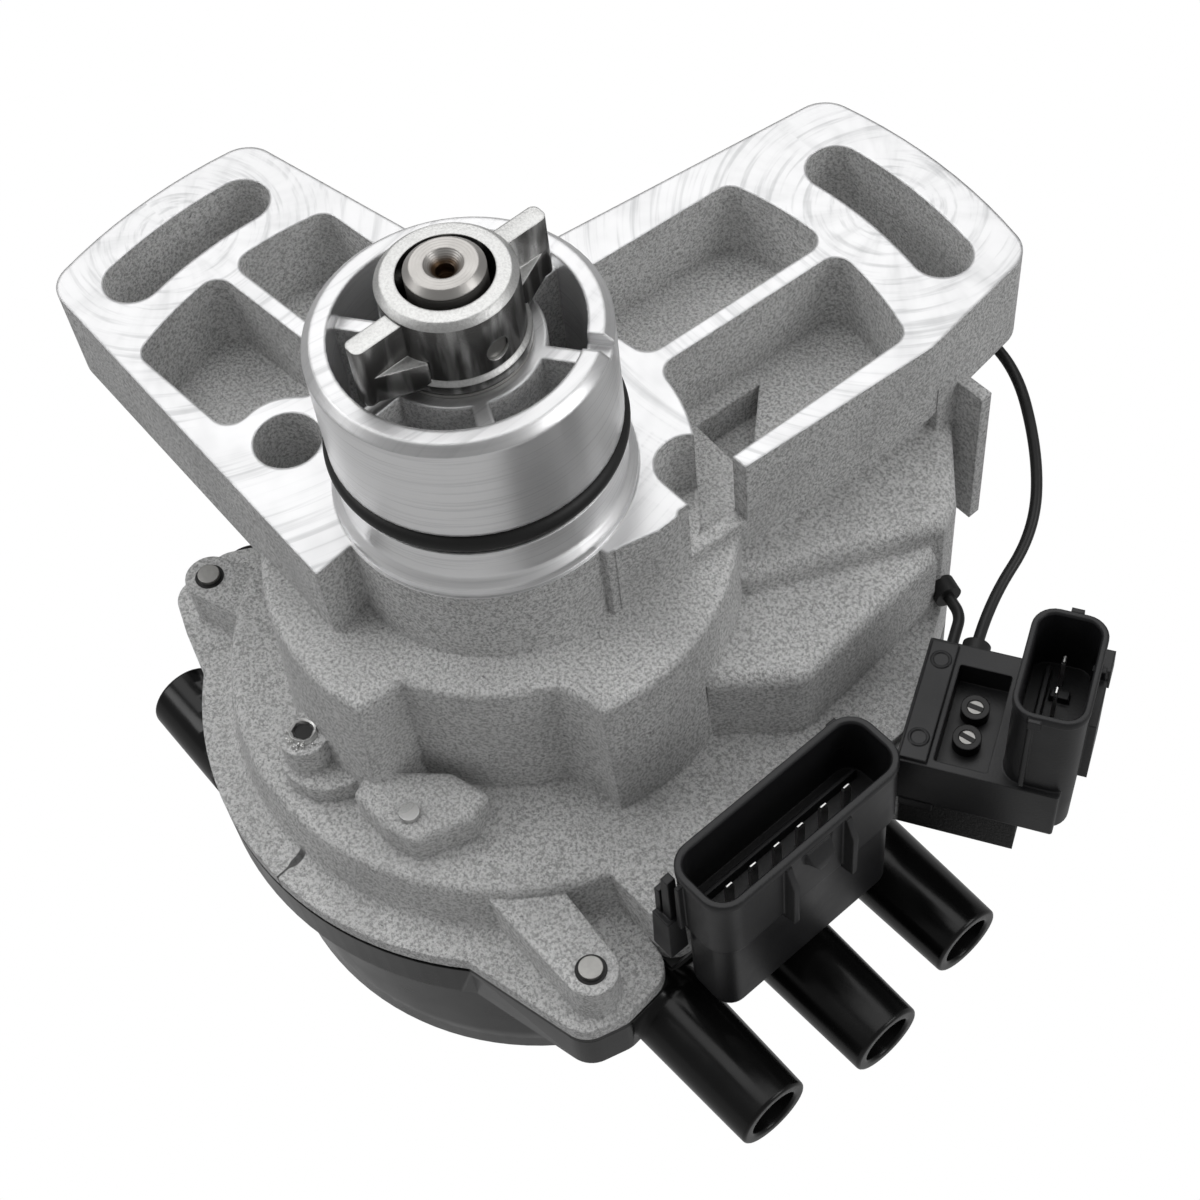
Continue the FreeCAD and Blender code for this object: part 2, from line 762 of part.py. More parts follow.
def build_lug_arms(body):
    """Raised arms that carry the cap screws, the pin pad and the two cast bosses."""
    depth = "rim_drop - lug_top_drop"
    front = sketch_on(body, "FrontLugArm", "-lug_top_drop")
    outline(front, [
        ("front_lug_x - 22", "front_lug_y - 4.2"),
        ("front_lug_x", "front_lug_y - lug_radius"),
        ("front_lug_x", "front_lug_y + lug_radius"),
        ("front_lug_x - 22", "front_lug_y + 6.6"),
    ])
    pad(body, front, depth)
    left = sketch_on(body, "LeftLugArm", "-lug_top_drop")
    outline(left, [
        ("left_lug_x - 2.6", "left_lug_y + 3.6"),
        ("left_lug_x + 2.4", "left_lug_y - 3.8"),
        ("left_lug_x + 18", "left_lug_y + 1"),
        ("left_lug_x + 14", "left_lug_y + 12"),
    ])
    pad(body, left, depth)
    back = sketch_on(body, "BackLugArm", "-lug_top_drop")
    outline(back, [
        ("back_lug_x - lug_radius", "back_lug_y"),
        ("back_lug_x - lug_radius", "back_lug_y - 26"),
        ("back_lug_x + 10", "back_lug_y - 20"),
        ("back_lug_x + 10", "back_lug_y + lug_radius"),
        ("back_lug_x", "back_lug_y + lug_radius"),
    ])
    pad(body, back, depth)
    for index, (x, y) in enumerate(LUG_CENTRES):
        pad(body, circle_outline(sketch_on(body, "LugBoss%d" % index, "-lug_top_drop"), "lug_radius", x, y), depth)
    pin_pad = sketch_on(body, "PinPad", "-pin_pad_drop")
    pad(body, outline(pin_pad, PIN_PAD), "shelf_drop - pin_pad_drop + 0.5")
    pad(body, circle_outline(sketch_on(body, "VentBoss", "-shelf_drop + 10"), "4.3", "-2.9", "-42.6"), "10.5")
    pad(body, circle_outline(sketch_on(body, "VentPad", "-shelf_drop + 4"), "8.6", "-1.6", "-39.5"), "4.5")


def cut_arm_pockets(body):
    """Four cored pockets with ribs between them, and the two long adjusting slots."""
    for name, turn, side, near, wide, end in (
            ("LeftInner", "left_angle", "-", "left_pocket_half", "left_pocket_half", "left_pocket_end"),
            ("LeftOuter", "left_angle", "", "left_pocket_wide", "left_pocket_wide", "left_pocket_end"),
            ("RightInner", "right_angle", "", "right_pocket_inner", "right_pocket_inner", "right_pocket_end"),
            ("RightOuter", "right_angle", "-", "right_pocket_outer", "right_pocket_outer", "right_pocket_end")):
        sketch = sketch_on(body, name + "Core", turn=turn)
        rib = side + "rib_half"
        outline(sketch, [
            (None, rib, "pocket_start"),
            (None, side + near),
            (None, side + wide + " * 0.97", end),
            (None, rib),
        ])
        pocket(body, sketch, "pocket_depth")


def curved_slot(sketch, radius, width, half_angle):
    """Slot that bends round the origin, with round ends."""
    middle, half = number(radius), number(width) / 2
    spread = math.radians(number(half_angle))
    start, stop = -spread, spread
    centre = Vector(0, 0, 0)
    first = Vector(middle * math.cos(start), middle * math.sin(start), 0)
    last = Vector(middle * math.cos(stop), middle * math.sin(stop), 0)
    outer = sketch.addGeometry(Part.ArcOfCircle(Part.Circle(centre, UP, middle + half), start, stop), False)
    far = sketch.addGeometry(Part.ArcOfCircle(Part.Circle(last, UP, half), stop, stop + math.pi), False)
    inner = sketch.addGeometry(Part.ArcOfCircle(Part.Circle(centre, UP, middle - half), start, stop), False)
    near = sketch.addGeometry(
        Part.ArcOfCircle(Part.Circle(first, UP, half), start + math.pi, start + 2 * math.pi), False)
    for arc in (outer, inner):
        sketch.addConstraint(Sketcher.Constraint("Coincident", arc, 3, -1, 1))
    for one, end, other, begin in ((outer, 2, far, 1), (far, 2, inner, 2), (inner, 1, near, 1), (near, 2, outer, 1)):
        sketch.addConstraint(Sketcher.Constraint("Tangent", one, end, other, begin))
    tie = sketch.addConstraint(Sketcher.Constraint("Radius", far, half))
    bind(sketch, "Constraints[%d]" % tie, "(%s) / 2" % width)
    fix(sketch, "DistanceX", far, 3, "(%s) * cos(%s)" % (radius, half_angle))
    fix(sketch, "DistanceY", far, 3, "(%s) * sin(%s)" % (radius, half_angle))
    fix(sketch, "DistanceY", near, 3, "-(%s) * sin(%s)" % (radius, half_angle))
    return sketch


def cut_flange(body):
    """Adjusting slots, the blind hole in its boss, the wedge core and the bite beside the pilot."""
    for side in ("left", "right"):
        slot = sketch_on(body, side.title() + "Slot", turn=side + "_angle")
        curved_slot(slot, side + "_slot_radius", side + "_slot_width", side + "_slot_half_angle")
        pocket(body, slot, "arm_depth + 2")
    pad(body, circle_outline(sketch_on(body, "HoleBoss"), "hole_boss_radius", "hole_x", "hole_y"), "arm_depth")
    pocket(body, circle_outline(sketch_on(body, "BlindHole"), "hole_radius", "hole_x", "hole_y"), "hole_depth")
    wedge = sketch_on(body, "WedgeCore", turn="right_angle")
    outline(wedge, [
        ("pocket_start * 1.14", "-right_pocket_outer * 0.2"),
        ("right_pocket_end * 0.72", "-right_pocket_outer * 0.2"),
        ("pocket_start * 1.14", "-right_pocket_outer * 0.8"),
    ])
    pocket(body, wedge, "wedge_depth")
    shoulder = sketch_on(body, "Shoulder")
    outline(shoulder, [
        ("boss_radius * 0.6", "shoulder_low - 2"),
        ("boss_radius + 1", "shoulder_low"),
        ("shoulder_x", "shoulder_high * 0.65"),
        ("shoulder_x", "shoulder_high - 2"),
        ("shoulder_x - 1.4", "shoulder_high"),
        ("boss_radius * 0.6", "shoulder_high"),
    ])
    pad(body, shoulder, "terrace_drop + 1")
    pocket(body, circle_outline(sketch_on(body, "BiteRound"), "bite_radius", "bite_x", "bite_y"), "bite_depth")
    bite = sketch_on(body, "BiteMouth")
    box_outline(bite, "bite_x", "bite_y - bite_radius", "bell_radius", "bite_y + bite_radius")
    pocket(body, bite, "bite_depth")


def round_casting(body):
    """Rounds that the mould leaves on corners, pockets and steps."""
    pockets = []
    for edge in body.Shape.Edges:
        box = edge.BoundBox
        if abs(box.ZMin + number("pocket_depth")) < 0.01 and abs(box.ZMax) < 0.01:
            pockets.append((edge.CenterOfMass.x, edge.CenterOfMass.y))
    middle = "-pocket_depth / 2"
    soften(body, "PocketCorners", "pocket_corner",
           upright_edges(body.Shape, pockets, middle + " - 0.1", middle + " + 0.1"))
    corners = upright_edges(body.Shape, [turned("bay_corner_x", "bay_corner_y")], "-shelf_drop", "-crest_drop")
    low_corners = [turned("bay_face", "-bay_front"), turned("-bay_inner", "bay_back")]
    corners += upright_edges(body.Shape, low_corners, "-rim_drop", "-crest_drop")
    soften(body, "BayCorners", "crest_round", corners)
    finger = [turned("finger_x", "finger_y")]
    soften(body, "FingerCorners", "crest_round", upright_edges(body.Shape, finger, "-shelf_drop", "-middle_drop"))
    recess = [turned("recess_radius * 1.12", "-recess_radius * 0.33"),
              turned(on_circle("recess_radius", "recess_radius * 0.39"), "-recess_radius * 0.39")]
    soften(body, "RecessCorners", "step_round", upright_edges(body.Shape, recess, "-shelf_drop", "-terrace_drop"))
    pad_corners = [turned(x, y) for x, y in PIN_PAD[1:]]
    soften(body, "PinPadCorners", "step_round * 0.6",
           upright_edges(body.Shape, pad_corners, "-shelf_drop", "-pin_pad_drop"))
    bay_low = number("bay_side_y")
    soften(body, "CrestEdge", "crest_round * 0.75", level_edges(
        body.Shape, "-crest_drop", lambda place: place.y > bay_low or place.x < 0))
    soften(body, "FingerEdge", "crest_round * 0.75", level_edges(
        body.Shape, "-middle_drop",
        lambda place: place.x > number("finger_x") * 0.8 and place.y < number("finger_tip_y")))
    soften(body, "TerraceEdge", "edge_round", level_edges(
        body.Shape, "-terrace_drop", lambda place: math.hypot(place.x, place.y) > number("boss_radius") + 2))
    soften(body, "PinPadEdge", "edge_round", level_edges(
        body.Shape, "-pin_pad_drop", lambda place: place.y < number("locating_y") + 14))
    soften(body, "RimRoot", "step_round", level_edges(
        body.Shape, "-rim_drop", lambda place: math.hypot(place.x, place.y) < number("bowl_radius") + 3,
        outer=False))
    soften(body, "ShelfEdge", "edge_round", level_edges(
        body.Shape, "-shelf_drop", lambda place: math.hypot(place.x, place.y) < number("bowl_radius") + 1))


def cut_inside(body):
    """Bores for bush, seal and bearing, the two chambers and the coil's space."""
    spin(body, "Inside", [
        ("0", "hub_top + 1"),
        ("bush_radius", "hub_top + 1"),
        ("bush_radius", "bush_bottom"),
        ("shaft_radius + 0.5", "bush_bottom"),
        ("shaft_radius + 0.5", "-seal_top_drop"),
        ("seal_radius", "-seal_top_drop"),
        ("seal_radius", "-bearing_top_drop"),
        ("bearing_radius", "-bearing_top_drop"),
        ("bearing_radius", "-upper_chamber_drop"),
        ("upper_chamber_radius", "-upper_chamber_drop"),
        ("upper_chamber_radius", "-chamber_drop"),
        ("chamber_radius", "-chamber_drop"),
        ("chamber_radius", "-rim_bottom_drop - 1"),
        ("0", "-rim_bottom_drop - 1"),
    ], "Groove")
    coil_space = sketch_on(body, "CoilSpace", "-rim_bottom_drop")
    outline(coil_space, [
        ("-bay_inner + bay_wall", "upper_chamber_radius + bay_wall"),
        ("bay_side_y - 5", "upper_chamber_radius + bay_wall"),
        ("bay_corner_x - 3", "bay_corner_y - 6"),
        ("bay_corner_x - 4", "bay_corner_y - 2"),
        ("bay_side_y - 5", "bay_back - bay_wall"),
        ("-bay_inner + bay_wall", "bay_back - bay_wall"),
    ])
    pocket(body, coil_space, "rim_bottom_drop - bay_ceiling_drop", upward=True)
    low_space = sketch_on(body, "LowSpace", "-rim_bottom_drop")
    outline(low_space, [
        ("bay_side_y", "-bay_front + bay_wall"),
        ("bay_face - bay_wall", "-bay_front + bay_wall"),
        ("bay_face - bay_wall", "bay_side_y - 1"),
        ("bay_corner_x - 3", "bay_corner_y - bay_wall"),
        ("bay_side_y - 8", "bay_corner_y - bay_wall"),
    ])
    pocket(body, low_space, "rim_bottom_drop - chamber_drop", upward=True)
    passage = sketch_on(body, "PlugPassage", "-rim_bottom_drop")
    box_outline(passage, "bay_face - bay_wall - 1", "-tongue_half", "bay_face + 1", "tongue_half")
    pocket(body, passage, "rim_bottom_drop - tongue_top_drop", upward=True)


def drill_inside(body):
    """Tapped holes for the retainer, the base plate and the coil."""
    ring = sketch_on(body, "RetainerHole", "-upper_chamber_drop", turn="15")
    circle_outline(ring, "small_screw_radius", "retainer_bolt_ring")
    pattern_round(body, pocket(body, ring, "small_screw_grip", upward=True), "screw_count")
    plate = sketch_on(body, "PlateHole", "-chamber_drop", turn="plate_bolt_angle")
    circle_outline(plate, "small_screw_radius", "plate_bolt_ring")
    pattern_round(body, pocket(body, plate, "small_screw_grip", upward=True), "screw_count")
    coil = sketch_on(body, "CoilHoles", "-bay_ceiling_drop")
    circle_outline(coil, "small_screw_radius", "core_low_x + coil_screw_inset", "core_y")
    circle_outline(coil, "small_screw_radius", "core_high_x - coil_screw_inset", "core_y")
    pocket(body, coil, "small_screw_grip - 2", upward=True)
    ledge = sketch_on(body, "LedgeHoles", "-block_bottom_drop", turn="block_angle")
    for side in ("-", "+"):
        circle_outline(ledge, "small_screw_radius", "block_screw_n",
                       "-block_screw_t %s block_screw_pitch / 2" % side)
    pocket(body, ledge, "small_screw_grip")
    pin = sketch_on(body, "PinHole", "-pin_pad_drop")
    circle_outline(pin, "locating_radius", "locating_x", "locating_y")
    pocket(body, pin, "locating_depth")


def add_bracket_and_ledge(body):
    """Cast bracket at the bay's corner and the ledge that carries the three-way block."""
    fin = sketch_on(body, "Fin", "-fin_top_drop")
    box_outline(fin, "fin_x - fin_thick", "bay_back - 5", "fin_x", "fin_reach - 0.5")
    pad(body, fin, "wing_bottom_drop - fin_top_drop")
    wing = sketch_on(body, "Wing", "-wing_top_drop")
    box_outline(wing, "fin_x - fin_thick", "fin_reach - fin_thick - 0.5", "wing_reach", "fin_reach - 0.5")
    pad(body, wing, "wing_bottom_drop - wing_top_drop")
    ledge = sketch_on(body, "Ledge", "-block_bottom_drop", turn="block_angle")
    box_outline(ledge, "bay_face", "-ledge_half - 2", "ledge_reach", "ledge_half")
    pad(body, ledge, "rim_bottom_drop - block_bottom_drop")


def build_housing():
    """Cast housing with everything machined in it."""
    body = new_body("housing_casting")
    build_flange(body)
    build_bowl(body)
    build_bay(body)
    add_footprint(body, "-rim_drop", "rim_thick")
    build_lug_arms(body)
    add_bracket_and_ledge(body)
    build_pilot(body)
    cut_arm_pockets(body)
    cut_flange(body)
    round_casting(body)
    cut_inside(body)
    cut_lug_holes(body, "-lug_top_drop", "rim_bottom_drop - lug_top_drop")
    drill_inside(body)
    return body


# Shaft, bearing and coupling


def round_part(label, corners):
    """Body turned about the shaft axis from a half profile."""
    body = new_body(label)
    spin(body, "Profile", corners)
    return body


def ball_groove(body):
    """Ring-shaped groove that the balls run in, cut in a race."""
    groove = body.newObject("PartDesign::SubtractiveTorus", "BallGroove")
    bind(groove, "Radius1", "ball_ring_radius")
    bind(groove, "Radius2", "ball_radius + ball_clearance")
    groove.AttachmentSupport = (origin_part(body, "XY_Plane"), [""])
    groove.MapMode = "FlatFace"
    bind(groove, "AttachmentOffset.Base.z", "-(bearing_top_drop + upper_chamber_drop) / 2")
    doc.recompute()


def build_bearing():
    """Deep-groove ball bearing that carries the shaft in the housing."""
    outer = round_part("bearing_outer_race", [
        ("outer_race_radius", "-bearing_top_drop"),
        ("bearing_radius", "-bearing_top_drop"),
        ("bearing_radius", "-upper_chamber_drop"),
        ("outer_race_radius", "-upper_chamber_drop"),
    ])
    ball_groove(outer)
    inner = round_part("bearing_inner_race", [
        ("shaft_radius", "-bearing_top_drop"),
        ("inner_race_radius", "-bearing_top_drop"),
        ("inner_race_radius", "-upper_chamber_drop"),
        ("shaft_radius", "-upper_chamber_drop"),
    ])
    ball_groove(inner)
    cage = round_part("bearing_cage", [
        ("inner_race_radius + run_clearance", "-bearing_top_drop - 1"),
        ("outer_race_radius - run_clearance", "-bearing_top_drop - 1"),
        ("outer_race_radius - run_clearance", "-upper_chamber_drop + 1"),
        ("inner_race_radius + run_clearance", "-upper_chamber_drop + 1"),
    ])
    balls = new_body("bearing_balls")
    middle = "-(bearing_top_drop + upper_chamber_drop) / 2"
    window = circle_outline(sketch_on(cage, "Window", "0", plane="YZ_Plane"),
                            "ball_radius + ball_clearance", "0", middle)
    hole = cage.newObject("PartDesign::Pocket", "WindowPocket")
    hole.Profile = window
    hole.Reversed = True
    bind(hole, "Length", "bearing_radius")
    doc.recompute()
    pattern_round(cage, hole, "ball_count")
    ball = balls.newObject("PartDesign::AdditiveSphere", "Ball")
    bind(ball, "Radius", "ball_radius")
    ball.AttachmentSupport = (origin_part(balls, "XY_Plane"), [""])
    ball.MapMode = "FlatFace"
    bind(ball, "AttachmentOffset.Base.x", "ball_ring_radius")
    bind(ball, "AttachmentOffset.Base.z", middle)
    doc.recompute()
    pattern_round(balls, ball, "ball_count")


def build_shaft():
    """Stepped shaft with a centre-drilled end, and the hole of the cross pin."""
    body = round_part("drive_shaft", [
        ("0", "shaft_end - 5"),
        ("1.4", "shaft_end - 3"),
        ("1.4", "shaft_end - 1.6"),
        ("3", "shaft_end"),
        ("shaft_radius - shaft_chamfer", "shaft_end"),
        ("shaft_radius", "shaft_end - shaft_chamfer"),
        ("shaft_radius", "-shaft_step_drop"),
        ("spindle_radius", "-shaft_step_drop"),
        ("spindle_radius", "-spindle_drop"),
        ("0", "-spindle_drop"),
    ])
    across(body, "PinHole", "pin_radius", "pin_level", "shaft_radius + 2")
    flat = sketch_on(body, "RotorFlat", "-spindle_drop")
    box_outline(flat, "spindle_radius - 0.8", "-shaft_radius", "shaft_radius + 1", "shaft_radius")
    pocket(body, flat, "spindle_drop - rotor_top_drop", upward=True)


def across(body, name, radius, level, reach):
    """Round hole through the body along X at a level on the axis."""
    sketch = sketch_on(body, name, "-(%s)" % reach, plane="YZ_Plane")
    circle_outline(sketch, radius, "0", level)
    before = body.Shape.Volume
    hole = body.newObject("PartDesign::Pocket", name + "Pocket")
    hole.Profile = sketch
    hole.Reversed = True
    bind(hole, "Length", "2 * (%s)" % reach)
    doc.recompute()
    if body.Shape.Volume > before - 0.01:
        raise RuntimeError(name + " cuts nothing")


def build_coupling():
    """Ring with two offset dogs that rocks a little on the cross pin, and its washer."""
    body = round_part("drive_coupling", [
        ("coupling_bore", "coupling_bottom"),
        ("coupling_radius + collar_width", "coupling_bottom"),
        ("coupling_radius + collar_width", "coupling_bottom + collar_height"),
        ("coupling_radius", "coupling_bottom + collar_height + collar_width"),
        ("coupling_radius", "coupling_top - shaft_chamfer"),
        ("coupling_radius - shaft_chamfer", "coupling_top"),
        ("coupling_bore", "coupling_top"),
    ])
    for name, side, low_x in (("FrontDog", "", "-2.4"), ("BackDog", "-", "-0.9")):
        dog = sketch_on(body, name, "dog_bottom")
        outline(dog, [
            (low_x, side + "(coupling_bore + 0.4)"),
            (low_x, side + "dog_reach"),
            (low_x + " + dog_width", side + "dog_reach"),
            (low_x + " + dog_width", side + "(coupling_bore + 0.4)"),
        ])
        pad(body, dog, "dog_top - dog_bottom", upward=True)
        gusset = sketch_on(body, name + "Gusset", "dog_bottom")
        outline(gusset, [
            (low_x + " + dog_width - 0.2", side + "(coupling_radius - 1.4)"),
            (low_x + " + dog_width - 0.2", side + "(dog_reach - 1.5)"),
            (low_x + " + dog_width * 2", side + "(coupling_radius - 1.4)"),
        ])
        pad(body, gusset, "(dog_top - dog_bottom) * 0.45", upward=True)
    tips = [turned(low_x + over, side + "dog_reach") for side, low_x in (("", "-2.4"), ("-", "-0.9"))
            for over in ("", " + dog_width")]
    soften(body, "DogTips", "dog_width * 0.35", upright_edges(body.Shape, tips, "dog_bottom", "dog_top"))
    across(body, "PinHole", "pin_radius + ball_clearance", "pin_level", "coupling_radius + 2")
    washer = round_part("thrust_washer", [
        ("shaft_radius", "hub_top + 0.05"),
        ("bush_radius + 2", "hub_top + 0.05"),
        ("bush_radius + 2", "hub_top + 0.05 + washer_thick"),
        ("shaft_radius", "hub_top + 0.05 + washer_thick"),
    ])
    pin = new_body("coupling_pin")
    sketch = sketch_on(pin, "Pin", "-(coupling_radius - 0.6)", plane="YZ_Plane")
    circle_outline(sketch, "pin_radius", "0", "pin_level")
    rod = pin.newObject("PartDesign::Pad", "PinPad")
    rod.Profile = sketch
    bind(rod, "Length", "2 * (coupling_radius - 0.6)")
    doc.recompute()


def build_seals():
    """Ring in the pilot groove, plain bush and lip seal."""
    ring = new_body("pilot_o_ring")
    torus = ring.newObject("PartDesign::AdditiveTorus", "Ring")
    bind(torus, "Radius1", "pilot_radius - groove_depth + ring_radius")
    bind(torus, "Radius2", "ring_radius")
    torus.AttachmentSupport = (origin_part(ring, "XY_Plane"), [""])
    torus.MapMode = "FlatFace"
    bind(torus, "AttachmentOffset.Base.z", "ring_level")
    round_part("front_bush", [
        ("shaft_radius + fit_clearance", "bush_bottom"),
        ("bush_radius", "bush_bottom"),
        ("bush_radius", "bush_top"),
        ("shaft_radius + fit_clearance", "bush_top"),
    ])
    round_part("shaft_seal", [
        ("seal_radius", "-bearing_top_drop"),
        ("seal_radius", "-seal_top_drop"),
        ("shaft_radius + 1.5", "-seal_top_drop"),
        ("shaft_radius + fit_clearance", "-seal_top_drop - seal_height * 0.6"),
        ("shaft_radius + 1.5", "-seal_top_drop - seal_height * 0.6"),
        ("shaft_radius + 2.5", "-seal_top_drop - 1.5"),
        ("seal_radius - 1.5", "-seal_top_drop - 1.5"),
        ("seal_radius - 1.5", "-bearing_top_drop"),
    ])


def screw_set(label, places, seat, turn="0", count="1", head="small_screw_head", grip="small_screw_grip - 0.5",
              through="0", upward=True):
    """Like screws in one node: shanks that go up from a seat, heads on its other side."""
    body = new_body(label)
    towards = "" if upward else "-"
    shanks = sketch_on(body, "Shank", seat, turn=turn)
    heads = sketch_on(body, "Head", seat, turn=turn)
    for x, y in places:
        circle_outline(shanks, "small_screw_radius", x, y)
        circle_outline(heads, head, x, y)
    made = [pad(body, shanks, "(%s) + (%s)" % (grip, through), upward=upward)]
    made.append(pad(body, heads, "small_screw_head_thick", upward=not upward))
    if number(count) > 1:
        for item in made:
            pattern = body.newObject("PartDesign::PolarPattern", item.Name + "Round")
            pattern.Originals = [item]
            pattern.Axis = (origin_part(body, "Z_Axis"), [""])
            pattern.Angle = 360
            bind(pattern, "Occurrences", count)
            body.Tip = pattern
            doc.recompute()
    return body


def build_retainer():
    """Plate under the bearing's outer race and its screws."""
    plate = round_part("bearing_retainer", [
        ("outer_race_radius + 0.6", "-upper_chamber_drop"),
        ("retainer_radius", "-upper_chamber_drop"),
        ("retainer_radius", "-upper_chamber_drop - retainer_thick"),
        ("outer_race_radius + 0.6", "-upper_chamber_drop - retainer_thick"),
    ])
    holes = circle_outline(sketch_on(plate, "Hole", "-upper_chamber_drop", turn="15"),
                           "small_screw_radius", "retainer_bolt_ring")
    pattern_round(plate, pocket(plate, holes, "retainer_thick"), "screw_count")
    screw_set("retainer_screws", [("retainer_bolt_ring", "0")], "-upper_chamber_drop - retainer_thick",
              "15", "screw_count", through="retainer_thick")


# Plate, trigger, igniter and coil


def build_plate():
    """Base plate under the upper chamber and its screws."""
    plate = round_part("base_plate", [
        ("plate_bore", "-plate_drop"),
        ("plate_radius", "-plate_drop"),
        ("plate_radius", "-plate_bottom_drop"),
        ("plate_bore", "-plate_bottom_drop"),
    ])
    edge = sketch_on(plate, "CoilEdge", "-plate_drop + 1")
    box_outline(edge, "-plate_radius", "coil_low_y - 2", "plate_radius", "plate_radius + 1")
    pocket(plate, edge, "plate_thick + 2")
    hole = circle_outline(sketch_on(plate, "Hole", "-plate_drop", turn="plate_bolt_angle"),
                          "small_screw_radius", "plate_bolt_ring")
    pattern_round(plate, pocket(plate, hole, "plate_thick"), "screw_count")
    screw_set("base_plate_screws", [("plate_bolt_ring", "0")], "-plate_bottom_drop",
              "plate_bolt_angle", "screw_count", through="plate_thick")


def build_trigger():
    """Wheel with a windowed wall on the shaft, and the forked sensor round the wall."""
    wheel = round_part("trigger_wheel", [
        ("spindle_radius", "-wheel_drop + wheel_hub_height"),
        ("wheel_hub_radius", "-wheel_drop + wheel_hub_height"),
        ("wheel_hub_radius", "-wheel_drop"),
        ("wheel_radius - wheel_wall", "-wheel_drop"),
        ("wheel_radius - wheel_wall", "-wheel_drop + wheel_height"),
        ("wheel_radius", "-wheel_drop + wheel_height"),
        ("wheel_radius", "-wheel_drop - wheel_wall"),
        ("spindle_radius", "-wheel_drop - wheel_wall"),
    ])
    window = sketch_on(wheel, "Window", "-wheel_drop + wheel_height")
    box_outline(window, "wheel_radius - wheel_wall * 3", "-window_width / 2", "wheel_radius + 1", "window_width / 2")
    pattern_round(wheel, pocket(wheel, window, "window_height"), "window_count")
    sensor = new_body("pickup_sensor")
    foot = sketch_on(sensor, "Foot", "-plate_bottom_drop", turn="90 - plate_bolt_angle")
    box_outline(foot, "sensor_inner", "-sensor_half", "sensor_outer", "sensor_half")
    pad(sensor, foot, "sensor_foot_thick")
    for name, low, high in (("InnerLeg", "sensor_inner", "sensor_slot_inner"),
                            ("OuterLeg", "sensor_slot_outer", "sensor_outer")):
        leg = sketch_on(sensor, name, "-plate_bottom_drop", turn="90 - plate_bolt_angle")
        box_outline(leg, low, "-sensor_half * 0.7", high, "sensor_half * 0.7")
        pad(sensor, leg, "sensor_leg_drop - plate_bottom_drop")
    igniter = new_body("igniter_module")
    block = sketch_on(igniter, "Block", "-plate_bottom_drop", turn="180")
    box_outline(block, "igniter_inner", "-igniter_half", "igniter_outer", "igniter_half")
    pad(igniter, block, "igniter_height")
    fins = sketch_on(igniter, "Label", "-plate_bottom_drop - igniter_height + 1", turn="180")
    box_outline(fins, "igniter_inner + 2", "-igniter_half + 2", "igniter_outer - 2", "igniter_half - 2")
    pocket(igniter, fins, "1")


def coil_outline(sketch, low_x, low_y, high_x, high_y, corner):
    """Rectangle with cut corners."""
    return outline(sketch, [
        (low_x + " + " + corner, low_y),
        (high_x + " - " + corner, low_y),
        (high_x, low_y + " + " + corner),
        (high_x, high_y + " - " + corner),
        (high_x + " - " + corner, high_y),
        (low_x + " + " + corner, high_y),
        (low_x, high_y + " - " + corner),
        (low_x, low_y + " + " + corner),
    ])


def build_coil():
    """Ignition coil in the bay: moulded body, laminated core, contact and screws."""
    case = new_body("ignition_coil_case")
    block = sketch_on(case, "Block", "-coil_top_drop")
    coil_outline(block, "coil_low_x", "coil_low_y", "coil_high_x", "coil_high_y", "coil_corner")
    pad(case, block, "coil_bottom_drop - coil_top_drop")
    tower = circle_outline(sketch_on(case, "Tower", "-coil_bottom_drop"), "coil_tower_radius",
                           "coil_tower_x", "coil_tower_y")
    pad(case, tower, "coil_tower_drop - coil_bottom_drop")
    bore = circle_outline(sketch_on(case, "TowerBore", "-coil_tower_drop"), "contact_radius",
                          "coil_tower_x", "coil_tower_y")
    pocket(case, bore, "coil_tower_drop - coil_bottom_drop", upward=True)
    window = sketch_on(case, "CoreWindow", "coil_low_x - 1", plane="YZ_Plane")
    box_outline(window, "core_y - core_half", "-core_bottom_drop", "core_y + core_half", "-core_top_drop")
    hole = case.newObject("PartDesign::Pocket", "CoreWindowPocket")
    hole.Profile = window
    hole.Reversed = True
    bind(hole, "Length", "coil_high_x - coil_low_x + 2")
    doc.recompute()
    core = new_body("ignition_coil_core")
    bar = sketch_on(core, "Bar", "-core_top_drop")
    box_outline(bar, "core_low_x", "core_y - core_half", "core_high_x", "core_y + core_half")
    pad(core, bar, "core_bottom_drop - core_top_drop")
    posts = sketch_on(core, "Posts", "-bay_ceiling_drop")
    box_outline(posts, "core_low_x", "core_y - core_half", "coil_low_x - 0.5", "core_y + core_half")
    box_outline(posts, "coil_high_x + 0.5", "core_y - core_half", "core_high_x", "core_y + core_half")
    pad(core, posts, "core_top_drop - bay_ceiling_drop + 1")
    places = [("core_low_x + coil_screw_inset", "core_y"), ("core_high_x - coil_screw_inset", "core_y")]
    holes = sketch_on(core, "ScrewHoles", "-core_bottom_drop")
    for x, y in places:
        circle_outline(holes, "small_screw_radius", x, y)
    pocket(core, holes, "core_bottom_drop - bay_ceiling_drop", upward=True)
    screw_set("coil_screws", places, "-core_bottom_drop", head="small_screw_radius + 0.5",
              grip="small_screw_grip - 2.5", through="core_bottom_drop - bay_ceiling_drop")
    contact = new_body("coil_contact")
    rod = circle_outline(sketch_on(contact, "Rod", "-coil_bottom_drop"), "contact_radius",
                         "coil_tower_x", "coil_tower_y")
    pad(contact, rod, "bus_top_drop - coil_bottom_drop")


# Rotor and cap


